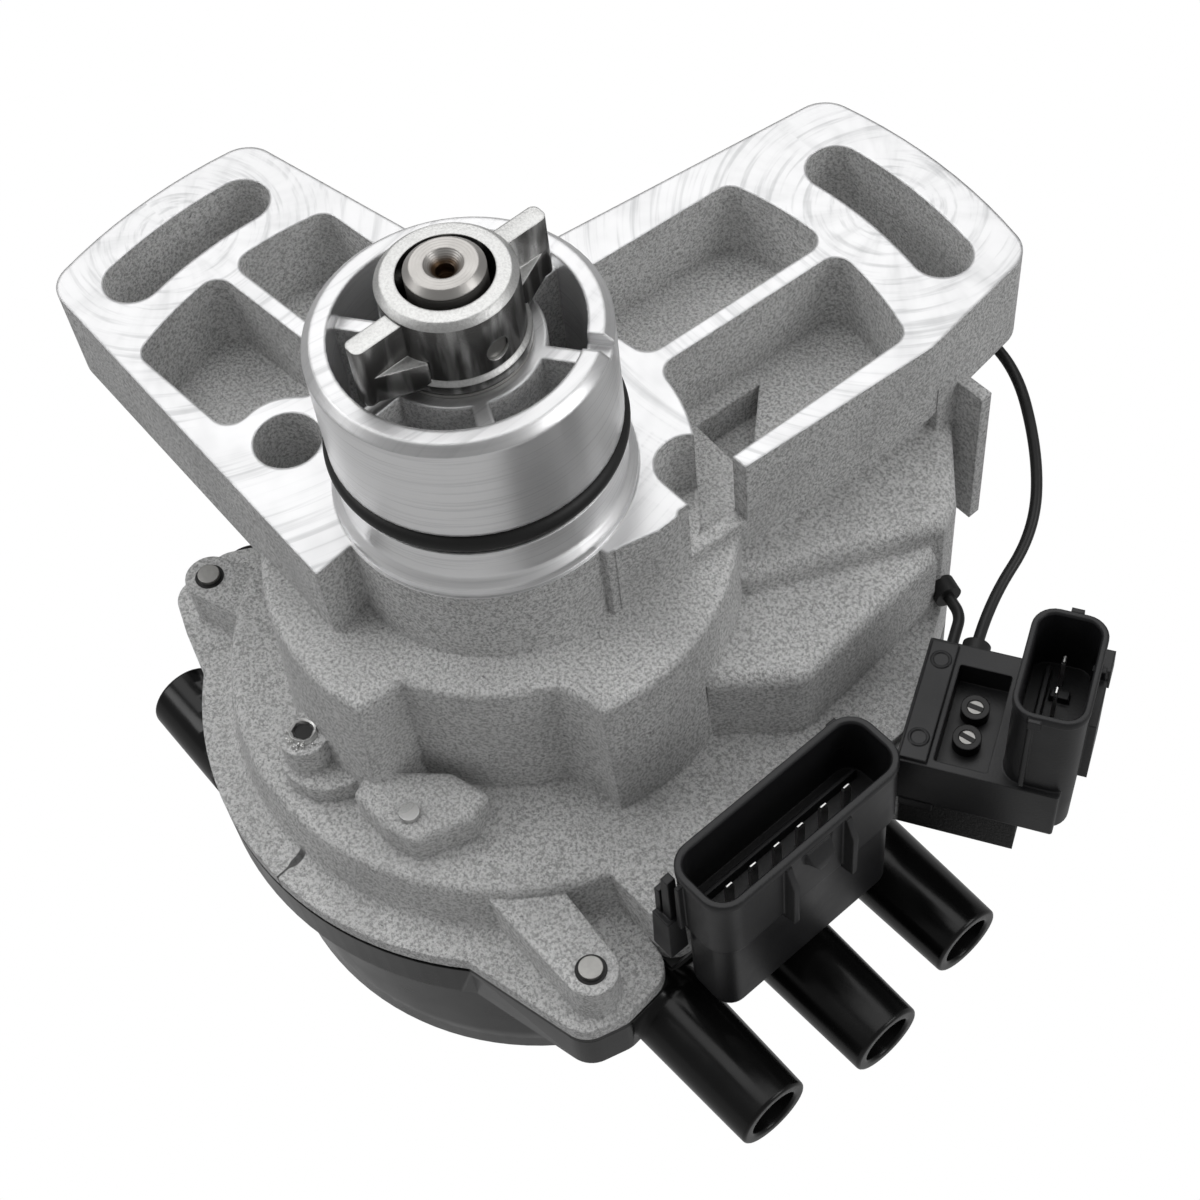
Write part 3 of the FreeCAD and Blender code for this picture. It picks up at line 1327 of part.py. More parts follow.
def build_rotor():
    """Rotor with its blade and grub screw, and the cover above it."""
    cover = round_part("dust_cover", [
        ("cover_bore", "-cover_drop"),
        ("cover_radius", "-cover_drop"),
        ("cover_radius", "-cover_seat_drop"),
        ("cover_bore", "-cover_seat_drop"),
    ])
    hole = circle_outline(sketch_on(cover, "ContactHole", "-cover_drop"), "contact_radius + 1",
                          "coil_tower_x", "coil_tower_y")
    pocket(cover, hole, "cover_thick")
    rotor = new_body("rotor")
    pad(rotor, circle_outline(sketch_on(rotor, "Hub", "-rotor_top_drop"), "rotor_hub_radius"),
        "rotor_arm_drop - rotor_top_drop")
    arm = sketch_on(rotor, "Arm", "-rotor_arm_drop + rotor_arm_thick")
    outline(arm, [
        (None, "-rotor_arm_half", "rotor_reach"),
        (None, "rotor_arm_half"),
        ("-rotor_hub_radius * 1.6", "rotor_arm_half"),
        ("-rotor_hub_radius * 1.6", "-rotor_arm_half"),
    ])
    pad(rotor, arm, "rotor_arm_thick")
    bore = sketch_on(rotor, "Bore", "-rotor_top_drop")
    pocket(rotor, circle_outline(bore, "spindle_radius"), "spindle_drop - rotor_top_drop")
    key = sketch_on(rotor, "Key", "-rotor_top_drop")
    box_outline(key, "spindle_radius - 0.8", "-spindle_radius", "spindle_radius + 0.5", "spindle_radius")
    pad(rotor, key, "rotor_arm_drop - rotor_top_drop")
    grub_hole = sketch_on(rotor, "GrubHole", "spindle_radius", plane="YZ_Plane", turn="0")
    circle_outline(grub_hole, "grub_radius", "0", "-grub_drop")
    hole = rotor.newObject("PartDesign::Pocket", "GrubHolePocket")
    hole.Profile = grub_hole
    hole.Reversed = True
    bind(hole, "Length", "rotor_hub_radius")
    doc.recompute()
    blade = new_body("rotor_blade")
    strip = sketch_on(blade, "Strip", "-rotor_arm_drop")
    outline(strip, [
        (None, "-blade_half", "blade_reach"),
        (None, "blade_half"),
        ("-rotor_hub_radius * 0.7", "blade_half"),
        ("-rotor_hub_radius * 0.7", "-blade_half"),
    ])
    pad(blade, strip, "blade_thick")
    grub = new_body("rotor_screw")
    sketch = sketch_on(grub, "Grub", "spindle_radius", plane="YZ_Plane")
    circle_outline(sketch, "grub_radius", "0", "-grub_drop")
    rod = grub.newObject("PartDesign::Pad", "GrubPad")
    rod.Profile = sketch
    bind(rod, "Length", "rotor_hub_radius - spindle_radius - 0.2")
    doc.recompute()


def bore_depth(reach):
    """How deep the lead goes into a tower: the far towers lie close to the cap's own bore."""
    return "tower_bore_depth" if number(reach) > 0 else "far_bore_depth"


def tower_length(reach):
    """How far a tower's tube runs back from its end: well past the bore and the ferrule in it."""
    if number(reach) > 0:
        return "abs(%s) - tower_root" % reach
    return "max(abs(%s) - cap_bore; far_bore_depth + 2 * ferrule_depth)" % reach


def tower(body, name, reach, y, level, bore=False):
    """Lead tower along +X or -X: a tapered tube, or the bore in it."""
    radius = "tower_bore" if bore else "tower_tip_radius"
    sketch = sketch_on(body, name, "(%s)" % reach, plane="YZ_Plane")
    circle_outline(sketch, radius, y, level)
    made = body.newObject("PartDesign::" + ("Pocket" if bore else "Pad"), name + "Made")
    made.Profile = sketch
    made.Reversed = (number(reach) > 0) != bore
    if bore:
        bind(made, "Length", bore_depth(reach))
    else:
        bind(made, "Length", tower_length(reach))
        bind(made, "TaperAngle", "tower_taper")
    doc.recompute()
    return made


TOWERS = [
    # name, end of the tower, y, level, azimuth of its electrode, corners of the strip between them
    ("RightMiddle", "tower_reach + tower_middle_extra", "0", "-tower_drop", 0),
    ("RightLeft", "tower_reach", "tower_pitch", "-tower_drop", 60),
    ("RightRight", "tower_reach", "-tower_pitch", "-tower_drop", -60),
    ("FarOuter", "-far_tower_reach", "far_tower_first", "-far_tower_drop", -120),
    ("FarMiddle", "-far_tower_reach - 16", "far_tower_first + far_tower_pitch", "-far_tower_drop", 180),
    ("FarInner", "-far_tower_reach - 20", "far_tower_first + 2 * far_tower_pitch", "-far_tower_drop", 120),
]


def strip_path(name, reach, y_text, level, angle):
    """Corners of the moulded-in strip from a tower's ferrule to its electrode."""
    side = 1 if number(reach) > 0 else -1
    y = number(y_text)
    depth = -number("electrode_drop")
    ring = number("electrode_ring")
    end_x = number(reach) - side * (number(bore_depth(reach)) + number("ferrule_depth"))
    end = Vector(ring * math.cos(math.radians(angle)), ring * math.sin(math.radians(angle)), depth)
    wall = number("cap_bore") + 6.5
    around = math.radians(angle + (12 if y < 0 else -12) * side if name in ("RightLeft", "RightRight") else angle)
    corners = [Vector(end_x, y, number(level))]
    if abs(end_x) > number("chamber_radius") + 2:
        corners.append(Vector(side * (number("chamber_radius") + 1.6), y, depth))
    corners.append(Vector(wall * math.cos(around), wall * math.sin(around), depth))
    corners.append(end)
    return corners


def bar_between(start, stop, half):
    """Square bar between two points, a little longer at both, so that bars join at corners."""
    along = Vector(stop - start).normalize()
    begin = start - along * half
    side = Vector(along).cross(UP).normalize()
    over = Vector(side).cross(along)
    corners = [begin + side * half * x + over * half * y for x, y in ((1, 1), (-1, 1), (-1, -1), (1, -1), (1, 1))]
    section = Part.Face(Part.makePolygon(corners))
    return section.extrude(along * ((stop - start).Length + 2 * half))


def build_terminals():
    """Six terminals: a plate at the foot of each tower, a strip in the cap's wall and an electrode."""
    solids = []
    for name, reach, y, level, angle in TOWERS:
        side = 1 if number(reach) > 0 else -1
        out = Vector(side, 0, 0)
        corners = strip_path(name, reach, y, level, angle)
        inner = Vector(number(reach) - side * number(bore_depth(reach)), number(y), number(level))
        solid = Part.makeCylinder(number("ferrule_radius"), number("ferrule_depth"), inner, -out)
        for start, stop in zip(corners, corners[1:]):
            solid = solid.fuse(bar_between(start, stop, number("strip_radius")))
        top = Vector(corners[-1].x, corners[-1].y, corners[-1].z + 1.5)
        length = top.z + number("electrode_end_drop")
        solid = solid.fuse(Part.makeCylinder(number("electrode_radius"), length, top, -UP))
        solids.append(solid.removeSplitter())
    terminals = doc.addObject("Part::Feature", "cap_terminals")
    terminals.Label = "cap_terminals"
    terminals.Shape = Part.makeCompound(solids)
    return terminals


def build_cap_body():
    """Moulded cap before its metal parts are let in."""
    body = new_body("cap_moulding")
    add_footprint(body, "-flange_top_drop", "cap_flange_thick")
    spin(body, "Dome", [
        ("0", "-flange_top_drop - 1"),
        ("cap_radius", "-flange_top_drop - 1"),
        ("cap_radius", "-flange_bottom_drop"),
        ("cap_radius - cap_draft + 0.1", "-cap_drop + 1.2"),
        ("cap_radius - cap_draft - 1.1", "-cap_drop"),
        ("0", "-cap_drop"),
    ])
    raft = sketch_on(body, "Raft", "-flange_top_drop - 2")
    box_outline(raft, "cap_bore - 8", "-raft_half", "bay_face - 1", "raft_half")
    pad(body, raft, "raft_drop - flange_top_drop - 2")
    for name, reach, y, level, angle in TOWERS:
        tower(body, name, reach, y, level)
    spin(body, "CapBore", [
        ("0", "-flange_top_drop + 1"),
        ("cover_radius + 0.3", "-flange_top_drop + 1"),
        ("cover_radius + 0.3", "-cover_seat_drop"),
        ("cap_bore", "-cover_seat_drop"),
        ("cap_bore", "-cap_floor_drop"),
        ("brush_holder_radius", "-cap_floor_drop"),
        ("brush_holder_radius", "-cap_floor_drop + brush_holder_height"),
        ("brush_radius + fit_clearance", "-cap_floor_drop + brush_holder_height"),
        ("brush_radius + fit_clearance", "-cap_floor_drop"),
        ("0", "-cap_floor_drop"),
    ], "Groove")
    for name, reach, y, level, angle in TOWERS:
        tower(body, name + "Bore", reach, y, level, bore=True)
    coil_room = sketch_on(body, "CoilRoom", "-flange_top_drop")
    box_outline(coil_room, "core_low_x + 1", "coil_low_y + 1", "core_high_x - 1", "coil_high_y + 1")
    pocket(body, coil_room, "coil_room_depth")
    cut_lug_holes(body, "-flange_top_drop", "cap_flange_thick", "lug_hole_radius + 0.2")
    cut_lug_holes(body, "-flange_bottom_drop", "raft_drop - flange_bottom_drop + 1", "small_screw_head + 0.4")
    return body


def build_cap():
    """Cap with its terminals, centre bus, brush and spring let in."""
    body = build_cap_body()
    terminals = build_terminals()
    bus = new_body("centre_terminal")
    leg = circle_outline(sketch_on(bus, "Leg", "-bus_top_drop"), "contact_radius", "coil_tower_x", "coil_tower_y")
    pad(bus, leg, "cap_floor_drop + bus_thick - bus_top_drop")
    strip = sketch_on(bus, "Strip", "-cap_floor_drop")
    outline(strip, [
        ("-bus_half", "-bus_half"),
        ("bus_half", "-bus_half"),
        ("coil_tower_x + bus_half * 0.8", "coil_tower_y"),
        ("coil_tower_x - bus_half * 0.8", "coil_tower_y"),
    ])
    pad(bus, strip, "bus_thick")
    tools = doc.addObject("Part::MultiFuse", "let_in")
    tools.Shapes = [terminals, bus]
    cap = doc.addObject("Part::Cut", "distributor_cap")
    cap.Label = "distributor_cap"
    cap.Base = body
    cap.Tool = tools
    doc.recompute()
    gasket = new_body("cap_gasket")
    add_footprint(gasket, "-rim_bottom_drop", "gasket_thick", "-0.4")
    inside = circle_outline(sketch_on(gasket, "Inside", "-rim_bottom_drop"), "chamber_radius + 1")
    pocket(gasket, inside, "gasket_thick")
    bay = sketch_on(gasket, "BayInside", "-rim_bottom_drop")
    box_outline(bay, "-bay_inner + bay_wall + 1", "bell_radius - 6", "bay_side_y", "bay_back - bay_wall - 1")
    pocket(gasket, bay, "gasket_thick")
    cut_lug_holes(gasket, "-rim_bottom_drop", "gasket_thick", "lug_hole_radius + 0.2")
    brush = new_body("carbon_brush")
    pad(brush, circle_outline(sketch_on(brush, "Brush", "-brush_top_drop"), "brush_radius"), "brush_length")
    spring = new_body("brush_spring")
    wire = sketch_on(spring, "Wire", plane="XZ_Plane")
    box_outline(wire, "brush_radius * 0.8 - 2 * spring_wire", "-cap_floor_drop + 0.1",
                "brush_radius * 0.8", "-cap_floor_drop + 2 * spring_wire + 0.1")
    coil = spring.newObject("PartDesign::AdditiveHelix", "Coil")
    coil.Profile = wire
    coil.ReferenceAxis = (wire, ["V_Axis"])
    coil.Mode = "height-turns-angle"
    bind(coil, "Height", "cap_floor_drop - brush_bottom_drop - 2 * spring_wire - 0.2")
    bind(coil, "Turns", "spring_turns")
    doc.recompute()
    screw_set("cap_screws", LUG_CENTRES, "-flange_bottom_drop",
              grip="flange_bottom_drop - lug_top_drop", through="1")


# Connectors and leads


def build_six_pin():
    """Upright six-pin connector on the bay's wall, and its pins."""
    shell = new_body("six_pin_connector")
    edges = ("plug_inner", "-plug_half", "plug_outer", "plug_half", "plug_corner * 0.6")
    pad(shell, coil_outline(sketch_on(shell, "Shell", "-plug_rim_drop"), *edges),
        "plug_seam_drop - plug_rim_drop")
    base = sketch_on(shell, "Base", "-plug_seam_drop")
    box_outline(base, "plug_inner - 1", "-plug_half + 1.2", "plug_outer - 1.4", "plug_half - 1.2")
    pad(shell, base, "plug_base_drop - plug_seam_drop")
    tongue = sketch_on(shell, "Tongue", "-tongue_top_drop - 0.3")
    box_outline(tongue, "bay_face - bay_wall", "-tongue_half + 0.3", "plug_inner", "tongue_half - 0.3")
    pad(shell, tongue, "plug_base_drop - tongue_top_drop - 0.3")
    cavity = sketch_on(shell, "Cavity", "-plug_rim_drop")
    coil_outline(cavity, "plug_inner + plug_wall", "-plug_half + plug_wall", "plug_outer - plug_wall",
                 "plug_half - plug_wall", "plug_corner * 0.4")
    pocket(shell, cavity, "plug_floor_drop - plug_rim_drop")
    for name, low_y, high_y in (("LatchLeft", "-7", "-5.4"), ("LatchRight", "5.4", "7")):
        rib = sketch_on(shell, name, "-plug_rim_drop - 1")
        box_outline(rib, "plug_outer - 0.2", low_y, "plug_outer + 1.8", high_y)
        pad(shell, rib, "plug_seam_drop - plug_rim_drop - 2")
    bridge = sketch_on(shell, "LatchBridge", "-plug_rim_drop - 4")
    box_outline(bridge, "plug_outer - 0.2", "-6", "plug_outer + 1.4", "6")
    pad(shell, bridge, "2.4")
    pins = new_body("six_pin_terminals")
    for body, kind in ((shell, "cut"), (pins, "add")):
        sketch = sketch_on(body, "Pins", "-pin_tip_drop")
        for place in range(6):
            middle = "(%g * pin_pitch)" % (place - 2.5)
            middle_x = "(plug_inner + plug_outer) / 2"
            box_outline(sketch, middle_x + " - pin_side / 2", middle + " - pin_side / 2",
                        middle_x + " + pin_side / 2", middle + " + pin_side / 2")
        if kind == "cut":
            pocket(body, sketch, "pin_root_drop - pin_tip_drop")
        else:
            pad(body, sketch, "pin_root_drop - pin_tip_drop")


def block_box(sketch, near, back, far, front):
    """Rectangle in the three-way block's own frame: outward and along the wall."""
    return box_outline(sketch, near, "-(%s)" % front, far, "-(%s)" % back)


def block_sketch(body, name, level):
    """Sketch in the three-way block's own frame."""
    return sketch_on(body, name, level, turn="block_angle")


def build_three_pin():
    """Three-way connector with its bracket block, pins and screws."""
    block = new_body("three_pin_connector")
    pad(block, block_box(block_sketch(block, "Block", "-block_top_drop"), "block_near", "block_back",
                         "block_far", "block_front"), "block_thick")
    shell = block_sketch(block, "Shell", "-shell_rim_drop")
    coil_outline(shell, "shell_near", "-shell_front", "shell_far", "-shell_back", "plug_corner * 0.6")
    pad(block, shell, "block_top_drop + block_thick - shell_rim_drop")
    cavity = block_sketch(block, "Cavity", "-shell_rim_drop")
    coil_outline(cavity, "shell_near + plug_wall", "-shell_front + plug_wall", "shell_far - plug_wall",
                 "-shell_back - plug_wall", "plug_corner * 0.4")
    pocket(block, cavity, "three_pin_floor_drop - shell_rim_drop")
    pocket(block, block_box(block_sketch(block, "Recess", "-block_top_drop"), "recess_near", "recess_back",
                            "recess_far", "recess_front"), "recess_depth")
    latch = block_sketch(block, "Latch", "-shell_rim_drop - 10")
    block_box(latch, "shell_far - 0.2", "shell_back + 6", "shell_far + 1.6", "shell_front - 8")
    pad(block, latch, "10")
    holes = block_sketch(block, "ScrewHoles", "-block_top_drop - recess_depth")
    places = [("block_screw_n", "-block_screw_t %s block_screw_pitch / 2" % side) for side in ("-", "+")]
    for x, y in places:
        circle_outline(holes, "small_screw_radius", x, y)
    pocket(block, holes, "block_thick - recess_depth")
    pins = new_body("three_pin_terminals")
    for body, kind in ((block, "cut"), (pins, "add")):
        sketch = block_sketch(body, "Pins", "-three_pin_tip_drop")
        for place in (-1, 0, 1):
            middle = "(-three_pin_t + %d * three_pin_pitch)" % place
            box_outline(sketch, "three_pin_n - pin_side / 2", middle + " - pin_side / 2",
                        "three_pin_n + pin_side / 2", middle + " + pin_side / 2")
        if kind == "cut":
            pocket(body, sketch, "block_top_drop - three_pin_tip_drop")
        else:
            pad(body, sketch, "block_top_drop - three_pin_tip_drop")
    screw_set("block_screws", places, "-block_top_drop - recess_depth", "block_angle",
              head="block_screw_head", grip="small_screw_grip - 0.5", through="block_thick - recess_depth",
              upward=False)


def build_pin():
    """Locating pin in the shelf's pad."""
    pin = new_body("locating_pin")
    body = circle_outline(sketch_on(pin, "Pin", "-pin_pad_drop + 1"), "locating_radius", "locating_x", "locating_y")
    pad(pin, body, "locating_depth + 1")


# Leads

# Corners of each lead's route, from the end at the block; arcs bend it at every corner


def in_block_frame(outward, along, level):
    """Point given outward from and along the wall that carries the three-way block."""
    angle = math.radians(number("block_angle"))
    x = outward * math.cos(angle) + along * math.sin(angle)
    y = outward * math.sin(angle) - along * math.cos(angle)
    return Vector(x, y, level)


def long_route():
    """Route of the long lead: beside the arm's end and back to the bay's rear wall."""
    back = number("block_back")
    return [
        in_block_frame(77.9, back - number("grommet_length"), -40),
        in_block_frame(77.9, back - 12, -40),
        Vector(52, 74, -37),
        Vector(43, 84, -32),
        Vector(29, 92, -25),
        Vector(13, 92.5, -26.5),
        Vector(5, 85.5, -33),
        Vector(5, number("bay_back") + number("grommet_length") - 1, -36),
    ]


def short_route():
    """Route of the short lead: out of the bay's wall and along it to the block."""
    back = number("block_back")
    return [
        in_block_frame(73.7, back - number("grommet_length") + 1, -42),
        in_block_frame(73.7, back - 9.5, -42),
        in_block_frame(70.9, back - 12.6, -42),
    ]


def bent_wire(points):
    """Straight runs joined by tangent arcs, each arc as wide as its shorter run allows."""
    edges = []
    begin = points[0]
    for before, corner, after in zip(points, points[1:], points[2:]):
        first, second = corner - before, after - corner
        turn = first.getAngle(second)
        reach = 0.45 * min(first.Length, second.Length)
        radius = reach / math.tan(turn / 2)
        start = corner - Vector(first).normalize() * reach
        stop = corner + Vector(second).normalize() * reach
        inward = (Vector(second).normalize() - Vector(first).normalize()).normalize()
        middle = corner + inward * (radius / math.cos(turn / 2) - radius)
        edges.append(Part.LineSegment(begin, start).toShape())
        edges.append(Part.Arc(start, middle, stop).toShape())
        begin = stop
        print("lead bend radius %.1f mm" % radius)
    edges.append(Part.LineSegment(begin, points[-1]).toShape())
    return Part.Wire(edges)


def tube_along(wire, radius):
    """Round tube along a wire."""
    start = wire.Edges[0]
    along = start.tangentAt(start.FirstParameter)
    section = Part.Wire([Part.Circle(wire.Vertexes[0].Point, along, radius).toShape()])
    return wire.makePipeShell([section], True, False)


def loose_part(label, shape):
    """Sub-part with its own shape, for what runs along a route."""
    item = doc.addObject("Part::Feature", label)
    item.Label = label
    item.Shape = shape
    return item


def build_leads():
    """Both leads and the rubber sleeves at their ends."""
    sleeves = []
    for label, points in (("long_lead", long_route()), ("short_lead", short_route())):
        wire = bent_wire(points)
        tube = tube_along(wire, number("lead_radius"))
        expected = wire.Length * math.pi * number("lead_radius") ** 2
        if abs(tube.Volume - expected) > 0.01 * expected:
            raise RuntimeError(label + " isn't a plain tube")
        print("%s is %.1f mm long" % (label, wire.Length))
        loose_part(label, tube)
        for end, inner in ((points[0], points[1]), (points[-1], points[-2])):
            outward = Vector(end - inner).normalize()
            sleeves.append(Part.makeCylinder(number("grommet_radius"), number("grommet_length"), end, outward))
    loose_part("lead_grommets", Part.makeCompound(sleeves))


# Build, check and write

HIDDEN = {"cap_moulding"}


def main():
    """Build every sub-part, check it and write it."""
    build_housing()
    build_bearing()
    build_shaft()
    build_coupling()
    build_seals()
    build_retainer()
    build_plate()
    build_trigger()
    build_coil()
    build_rotor()
    build_cap()
    build_six_pin()
    build_three_pin()
    build_pin()
    build_leads()
    doc.recompute()
    for item in doc.Objects:
        if "Invalid" in item.State or "Error" in item.State:
            raise RuntimeError("%s is %s" % (item.Label, item.State))
    os.makedirs("parts", exist_ok=True)
    kinds = ("PartDesign::Body", "Part::Cut", "Part::Feature")
    nodes = [item for item in doc.Objects if item.TypeId in kinds and item.Label not in HIDDEN]
    for item in nodes:
        shape = item.Shape
        if shape.isNull() or not shape.isValid():
            raise RuntimeError(item.Label + " has no valid shape")
        shape.exportStep("parts/%s.step" % item.Label)
        print("%s: %d solids, %.1f mm3" % (item.Label, len(shape.Solids), shape.Volume))


main()
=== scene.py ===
"""Dresses the ignition distributor for a studio picture.

The rigid pieces come from the frame. This script gives each its finish, adds the small
detail that the frame leaves out, and sets the camera, the floor and the lamps.
"""

import json
import logging
import math
import random
from collections import Counter
from dataclasses import dataclass
from enum import Enum
from typing import Callable, Optional, Sequence, Union

import bmesh
import bpy
from mathutils import Matrix, Vector


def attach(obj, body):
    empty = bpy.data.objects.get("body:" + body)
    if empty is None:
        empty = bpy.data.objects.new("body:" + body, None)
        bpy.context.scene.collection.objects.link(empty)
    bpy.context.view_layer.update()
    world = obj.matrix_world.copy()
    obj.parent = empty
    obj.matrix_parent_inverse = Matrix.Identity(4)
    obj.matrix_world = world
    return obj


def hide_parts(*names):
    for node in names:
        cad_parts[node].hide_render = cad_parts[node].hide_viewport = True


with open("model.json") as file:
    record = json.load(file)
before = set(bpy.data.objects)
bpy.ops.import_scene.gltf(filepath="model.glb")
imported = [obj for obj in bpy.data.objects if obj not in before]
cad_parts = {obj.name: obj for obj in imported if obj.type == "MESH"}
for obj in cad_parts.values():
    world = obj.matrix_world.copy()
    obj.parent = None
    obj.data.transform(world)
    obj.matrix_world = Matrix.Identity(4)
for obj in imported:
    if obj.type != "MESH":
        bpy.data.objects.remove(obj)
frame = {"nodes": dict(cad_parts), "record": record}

log = logging.getLogger("distributor")
MM = 0.001
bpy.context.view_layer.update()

Point = tuple[float, float, float]
Flat = tuple[float, float]
Tone = tuple[float, float, float]
Number = Union["Value", float]
Link = bpy.types.NodeSocket
Paint = Union[Sequence[float], Link]
Material = bpy.types.Material
Object = bpy.types.Object


class Slot(Enum):
    """Material slots of the record, by which the frame's pieces take their finish."""

    CASTING = "cast"
    BRIGHT = "bright"
    SINTERED = "sintered"
    BLACK = "black_plastic"
    GLOSS = "gloss_black"
    LEAD = "lead_cover"


# Shader helpers


class Value:
    """A number socket that can stand in a Python expression.

    Each operator adds its Math node to the socket's tree.
    """

    def __init__(self, graph: "Graph", socket: Link) -> None:
        """Keep the socket and the graph that owns it."""
        self.graph = graph
        self.socket = socket

    def _math(self, operation: str, *others: Number) -> "Value":
        """Add one Math node for this value and the others."""
        return self.graph.math(operation, self, *others)

    def __add__(self, other: Number) -> "Value":
        """Sum."""
        return self._math("ADD", other)

    __radd__ = __add__

    def __mul__(self, other: Number) -> "Value":
        """Product."""
        return self._math("MULTIPLY", other)

    __rmul__ = __mul__

    def __sub__(self, other: Number) -> "Value":
        """Difference."""
        return self._math("SUBTRACT", other)

    def __rsub__(self, other: float) -> "Value":
        """Difference from a number."""
        return self.graph.math("SUBTRACT", other, self)

    def __truediv__(self, other: Number) -> "Value":
        """Quotient."""
        return self._math("DIVIDE", other)

    def __pow__(self, other: float) -> "Value":
        """Power."""
        return self._math("POWER", other)

    def above(self, edge: float, soft: float) -> "Value":
        """Mask that rises from 0 to 1 across an edge.

        Args:
            edge: value at the middle of the rise.
            soft: half of the rise's width.

        Returns:
            The mask.
        """
        return self.graph.ramp(self, edge - soft, edge + soft)


class Graph:
    """Node tree of one material, with the few ways to add nodes that the finishes use."""

    def __init__(self, name: str) -> None:
        """Make an empty material with an output."""
        self.material = bpy.data.materials.new(name)
        self.material.use_nodes = True
        self.tree = self.material.node_tree
        self.tree.nodes.clear()
        self.output = self.node("ShaderNodeOutputMaterial")
        self.coords = self.node("ShaderNodeTexCoord").outputs["Object"]
        parts = self.node("ShaderNodeSeparateXYZ", {}, {"Vector": self.coords})
        self.x = Value(self, parts.outputs["X"])
        self.y = Value(self, parts.outputs["Y"])
        self.z = Value(self, parts.outputs["Z"])

    def node(self, kind: str, settings: Optional[dict] = None,
             inputs: Optional[dict] = None) -> bpy.types.Node:
        """Add a node.

        Args:
            kind: the node's type.
            settings: attributes to set first; a key "stops" fills a colour ramp.
            inputs: values or sockets for its inputs, by name or number.

        Returns:
            The node.
        """
        made = self.tree.nodes.new(kind)
        for key, value in (settings or {}).items():
            if key == "stops":
                ramp = made.color_ramp
                while len(ramp.elements) < len(value):
                    ramp.elements.new(0.5)
                for element, (place, colour) in zip(ramp.elements, value):
                    element.position = place
                    element.color = (*colour, 1.0)
            else:
                setattr(made, key, value)
        for key, value in (inputs or {}).items():
            socket = made.inputs[key]
            if isinstance(value, Value):
                value = value.socket
            if isinstance(value, Link):
                self.tree.links.new(value, socket)
            else:
                socket.default_value = value
        return made

    def math(self, operation: str, *terms: Number) -> Value:
        """Add one Math node on up to three terms."""
        made = self.node("ShaderNodeMath", {"operation": operation}, dict(enumerate(terms)))
        return Value(self, made.outputs[0])

    def ramp(self, value: Value, low: float, high: float) -> Value:
        """Map a value smoothly from low..high to 0..1."""
        made = self.node("ShaderNodeMapRange", {"interpolation_type": "SMOOTHSTEP"},
                         {"Value": value, "From Min": low, "From Max": high})
        return Value(self, made.outputs[0])

    def noise(self, size_mm: float, detail: float = 2.0, stretch: Point = (1.0, 1.0, 1.0),
              rough: float = 0.5) -> Value:
        """Noise whose grains are about size_mm across.

        Args:
            size_mm: size of a grain in millimetres.
            detail: how many finer layers it has.
            stretch: factor on each axis of the coordinates.
            rough: weight of the finer layers.

        Returns:
            The noise, from 0 to 1.
        """
        placed = self.node("ShaderNodeMapping", {}, {"Vector": self.coords, "Scale": stretch})
        made = self.node("ShaderNodeTexNoise", {}, {
            "Vector": placed.outputs[0], "Scale": 1 / (size_mm * MM), "Detail": detail, "Roughness": rough})
        return Value(self, made.outputs[0])

    def arc_noise(self, centre_mm: Flat, across_mm: float, along_deg: float) -> Value:
        """Noise drawn out along circles round an upright axis, as a cutter leaves it.

        Args:
            centre_mm: place of the axis.
            across_mm: width of a streak.
            along_deg: length of a streak as an angle.

        Returns:
            The noise, from 0 to 1.
        """
        across, along = self.x - centre_mm[0] * MM, self.y - centre_mm[1] * MM
        radius = (across ** 2 + along ** 2) ** 0.5
        angle = self.math("ARCTAN2", along, across)
        place = self.node("ShaderNodeCombineXYZ", {}, {
            "X": radius / (across_mm * MM), "Y": angle / math.radians(along_deg)})
        made = self.node("ShaderNodeTexNoise", {}, {
            "Vector": place.outputs[0], "Scale": 1.0, "Detail": 3.0, "Roughness": 0.6})
        return Value(self, made.outputs[0])

    def facing_up(self) -> Value:
        """Z of the surface's own normal."""
        normal = self.node("ShaderNodeNewGeometry").outputs["Normal"]
        parts = self.node("ShaderNodeSeparateXYZ", {}, {"Vector": normal})
        return Value(self, parts.outputs["Z"])

    def from_axis(self, x_mm: float = 0.0, y_mm: float = 0.0) -> Value:
        """Distance from an upright axis, in metres."""
        return ((self.x - x_mm * MM) ** 2 + (self.y - y_mm * MM) ** 2) ** 0.5

    def mix(self, factor: Number, first: Paint, second: Paint) -> Link:
        """Blend two colours by a factor."""
        def colour(item: Paint) -> object:
            """Give a plain colour its alpha."""
            return item if isinstance(item, Link) else (*item, 1.0)

        made = self.node("ShaderNodeMix", {"data_type": "RGBA"}, {
            0: factor, 6: colour(first), 7: colour(second)})
        return made.outputs[2]

    def blend(self, factor: Value, first: Number, second: Number) -> Value:
        """Blend two numbers by a factor."""
        return factor * second + (1 - factor) * first

    def finish(self, round_mm: float, bump: Optional[Value], depth_mm: float, **inputs: object) -> Material:
        """Add the surface shader.

        Args:
            round_mm: radius to which edges look rounded.
            bump: height for the Bump node, if any.
            depth_mm: height of a bump of 1.
            inputs: values or links of the shader, with underscores for spaces.

        Returns:
            The material.
        """
        normal = None
        if round_mm:
            edge = self.node("ShaderNodeBevel", {"samples": 6}, {"Radius": round_mm * MM})
            normal = edge.outputs[0]
        if bump is not None:
            links = {"Height": bump, "Distance": depth_mm * MM, "Strength": 1.0}
            if normal is not None:
                links["Normal"] = normal
            normal = self.node("ShaderNodeBump", {}, links).outputs[0]
        named = {key.replace("_", " "): value for key, value in inputs.items()}
        if normal is not None:
            named["Normal"] = normal
        shader = self.node("ShaderNodeBsdfPrincipled", {}, named)
        self.tree.links.new(shader.outputs[0], self.output.inputs["Surface"])
        return self.material


# Finishes


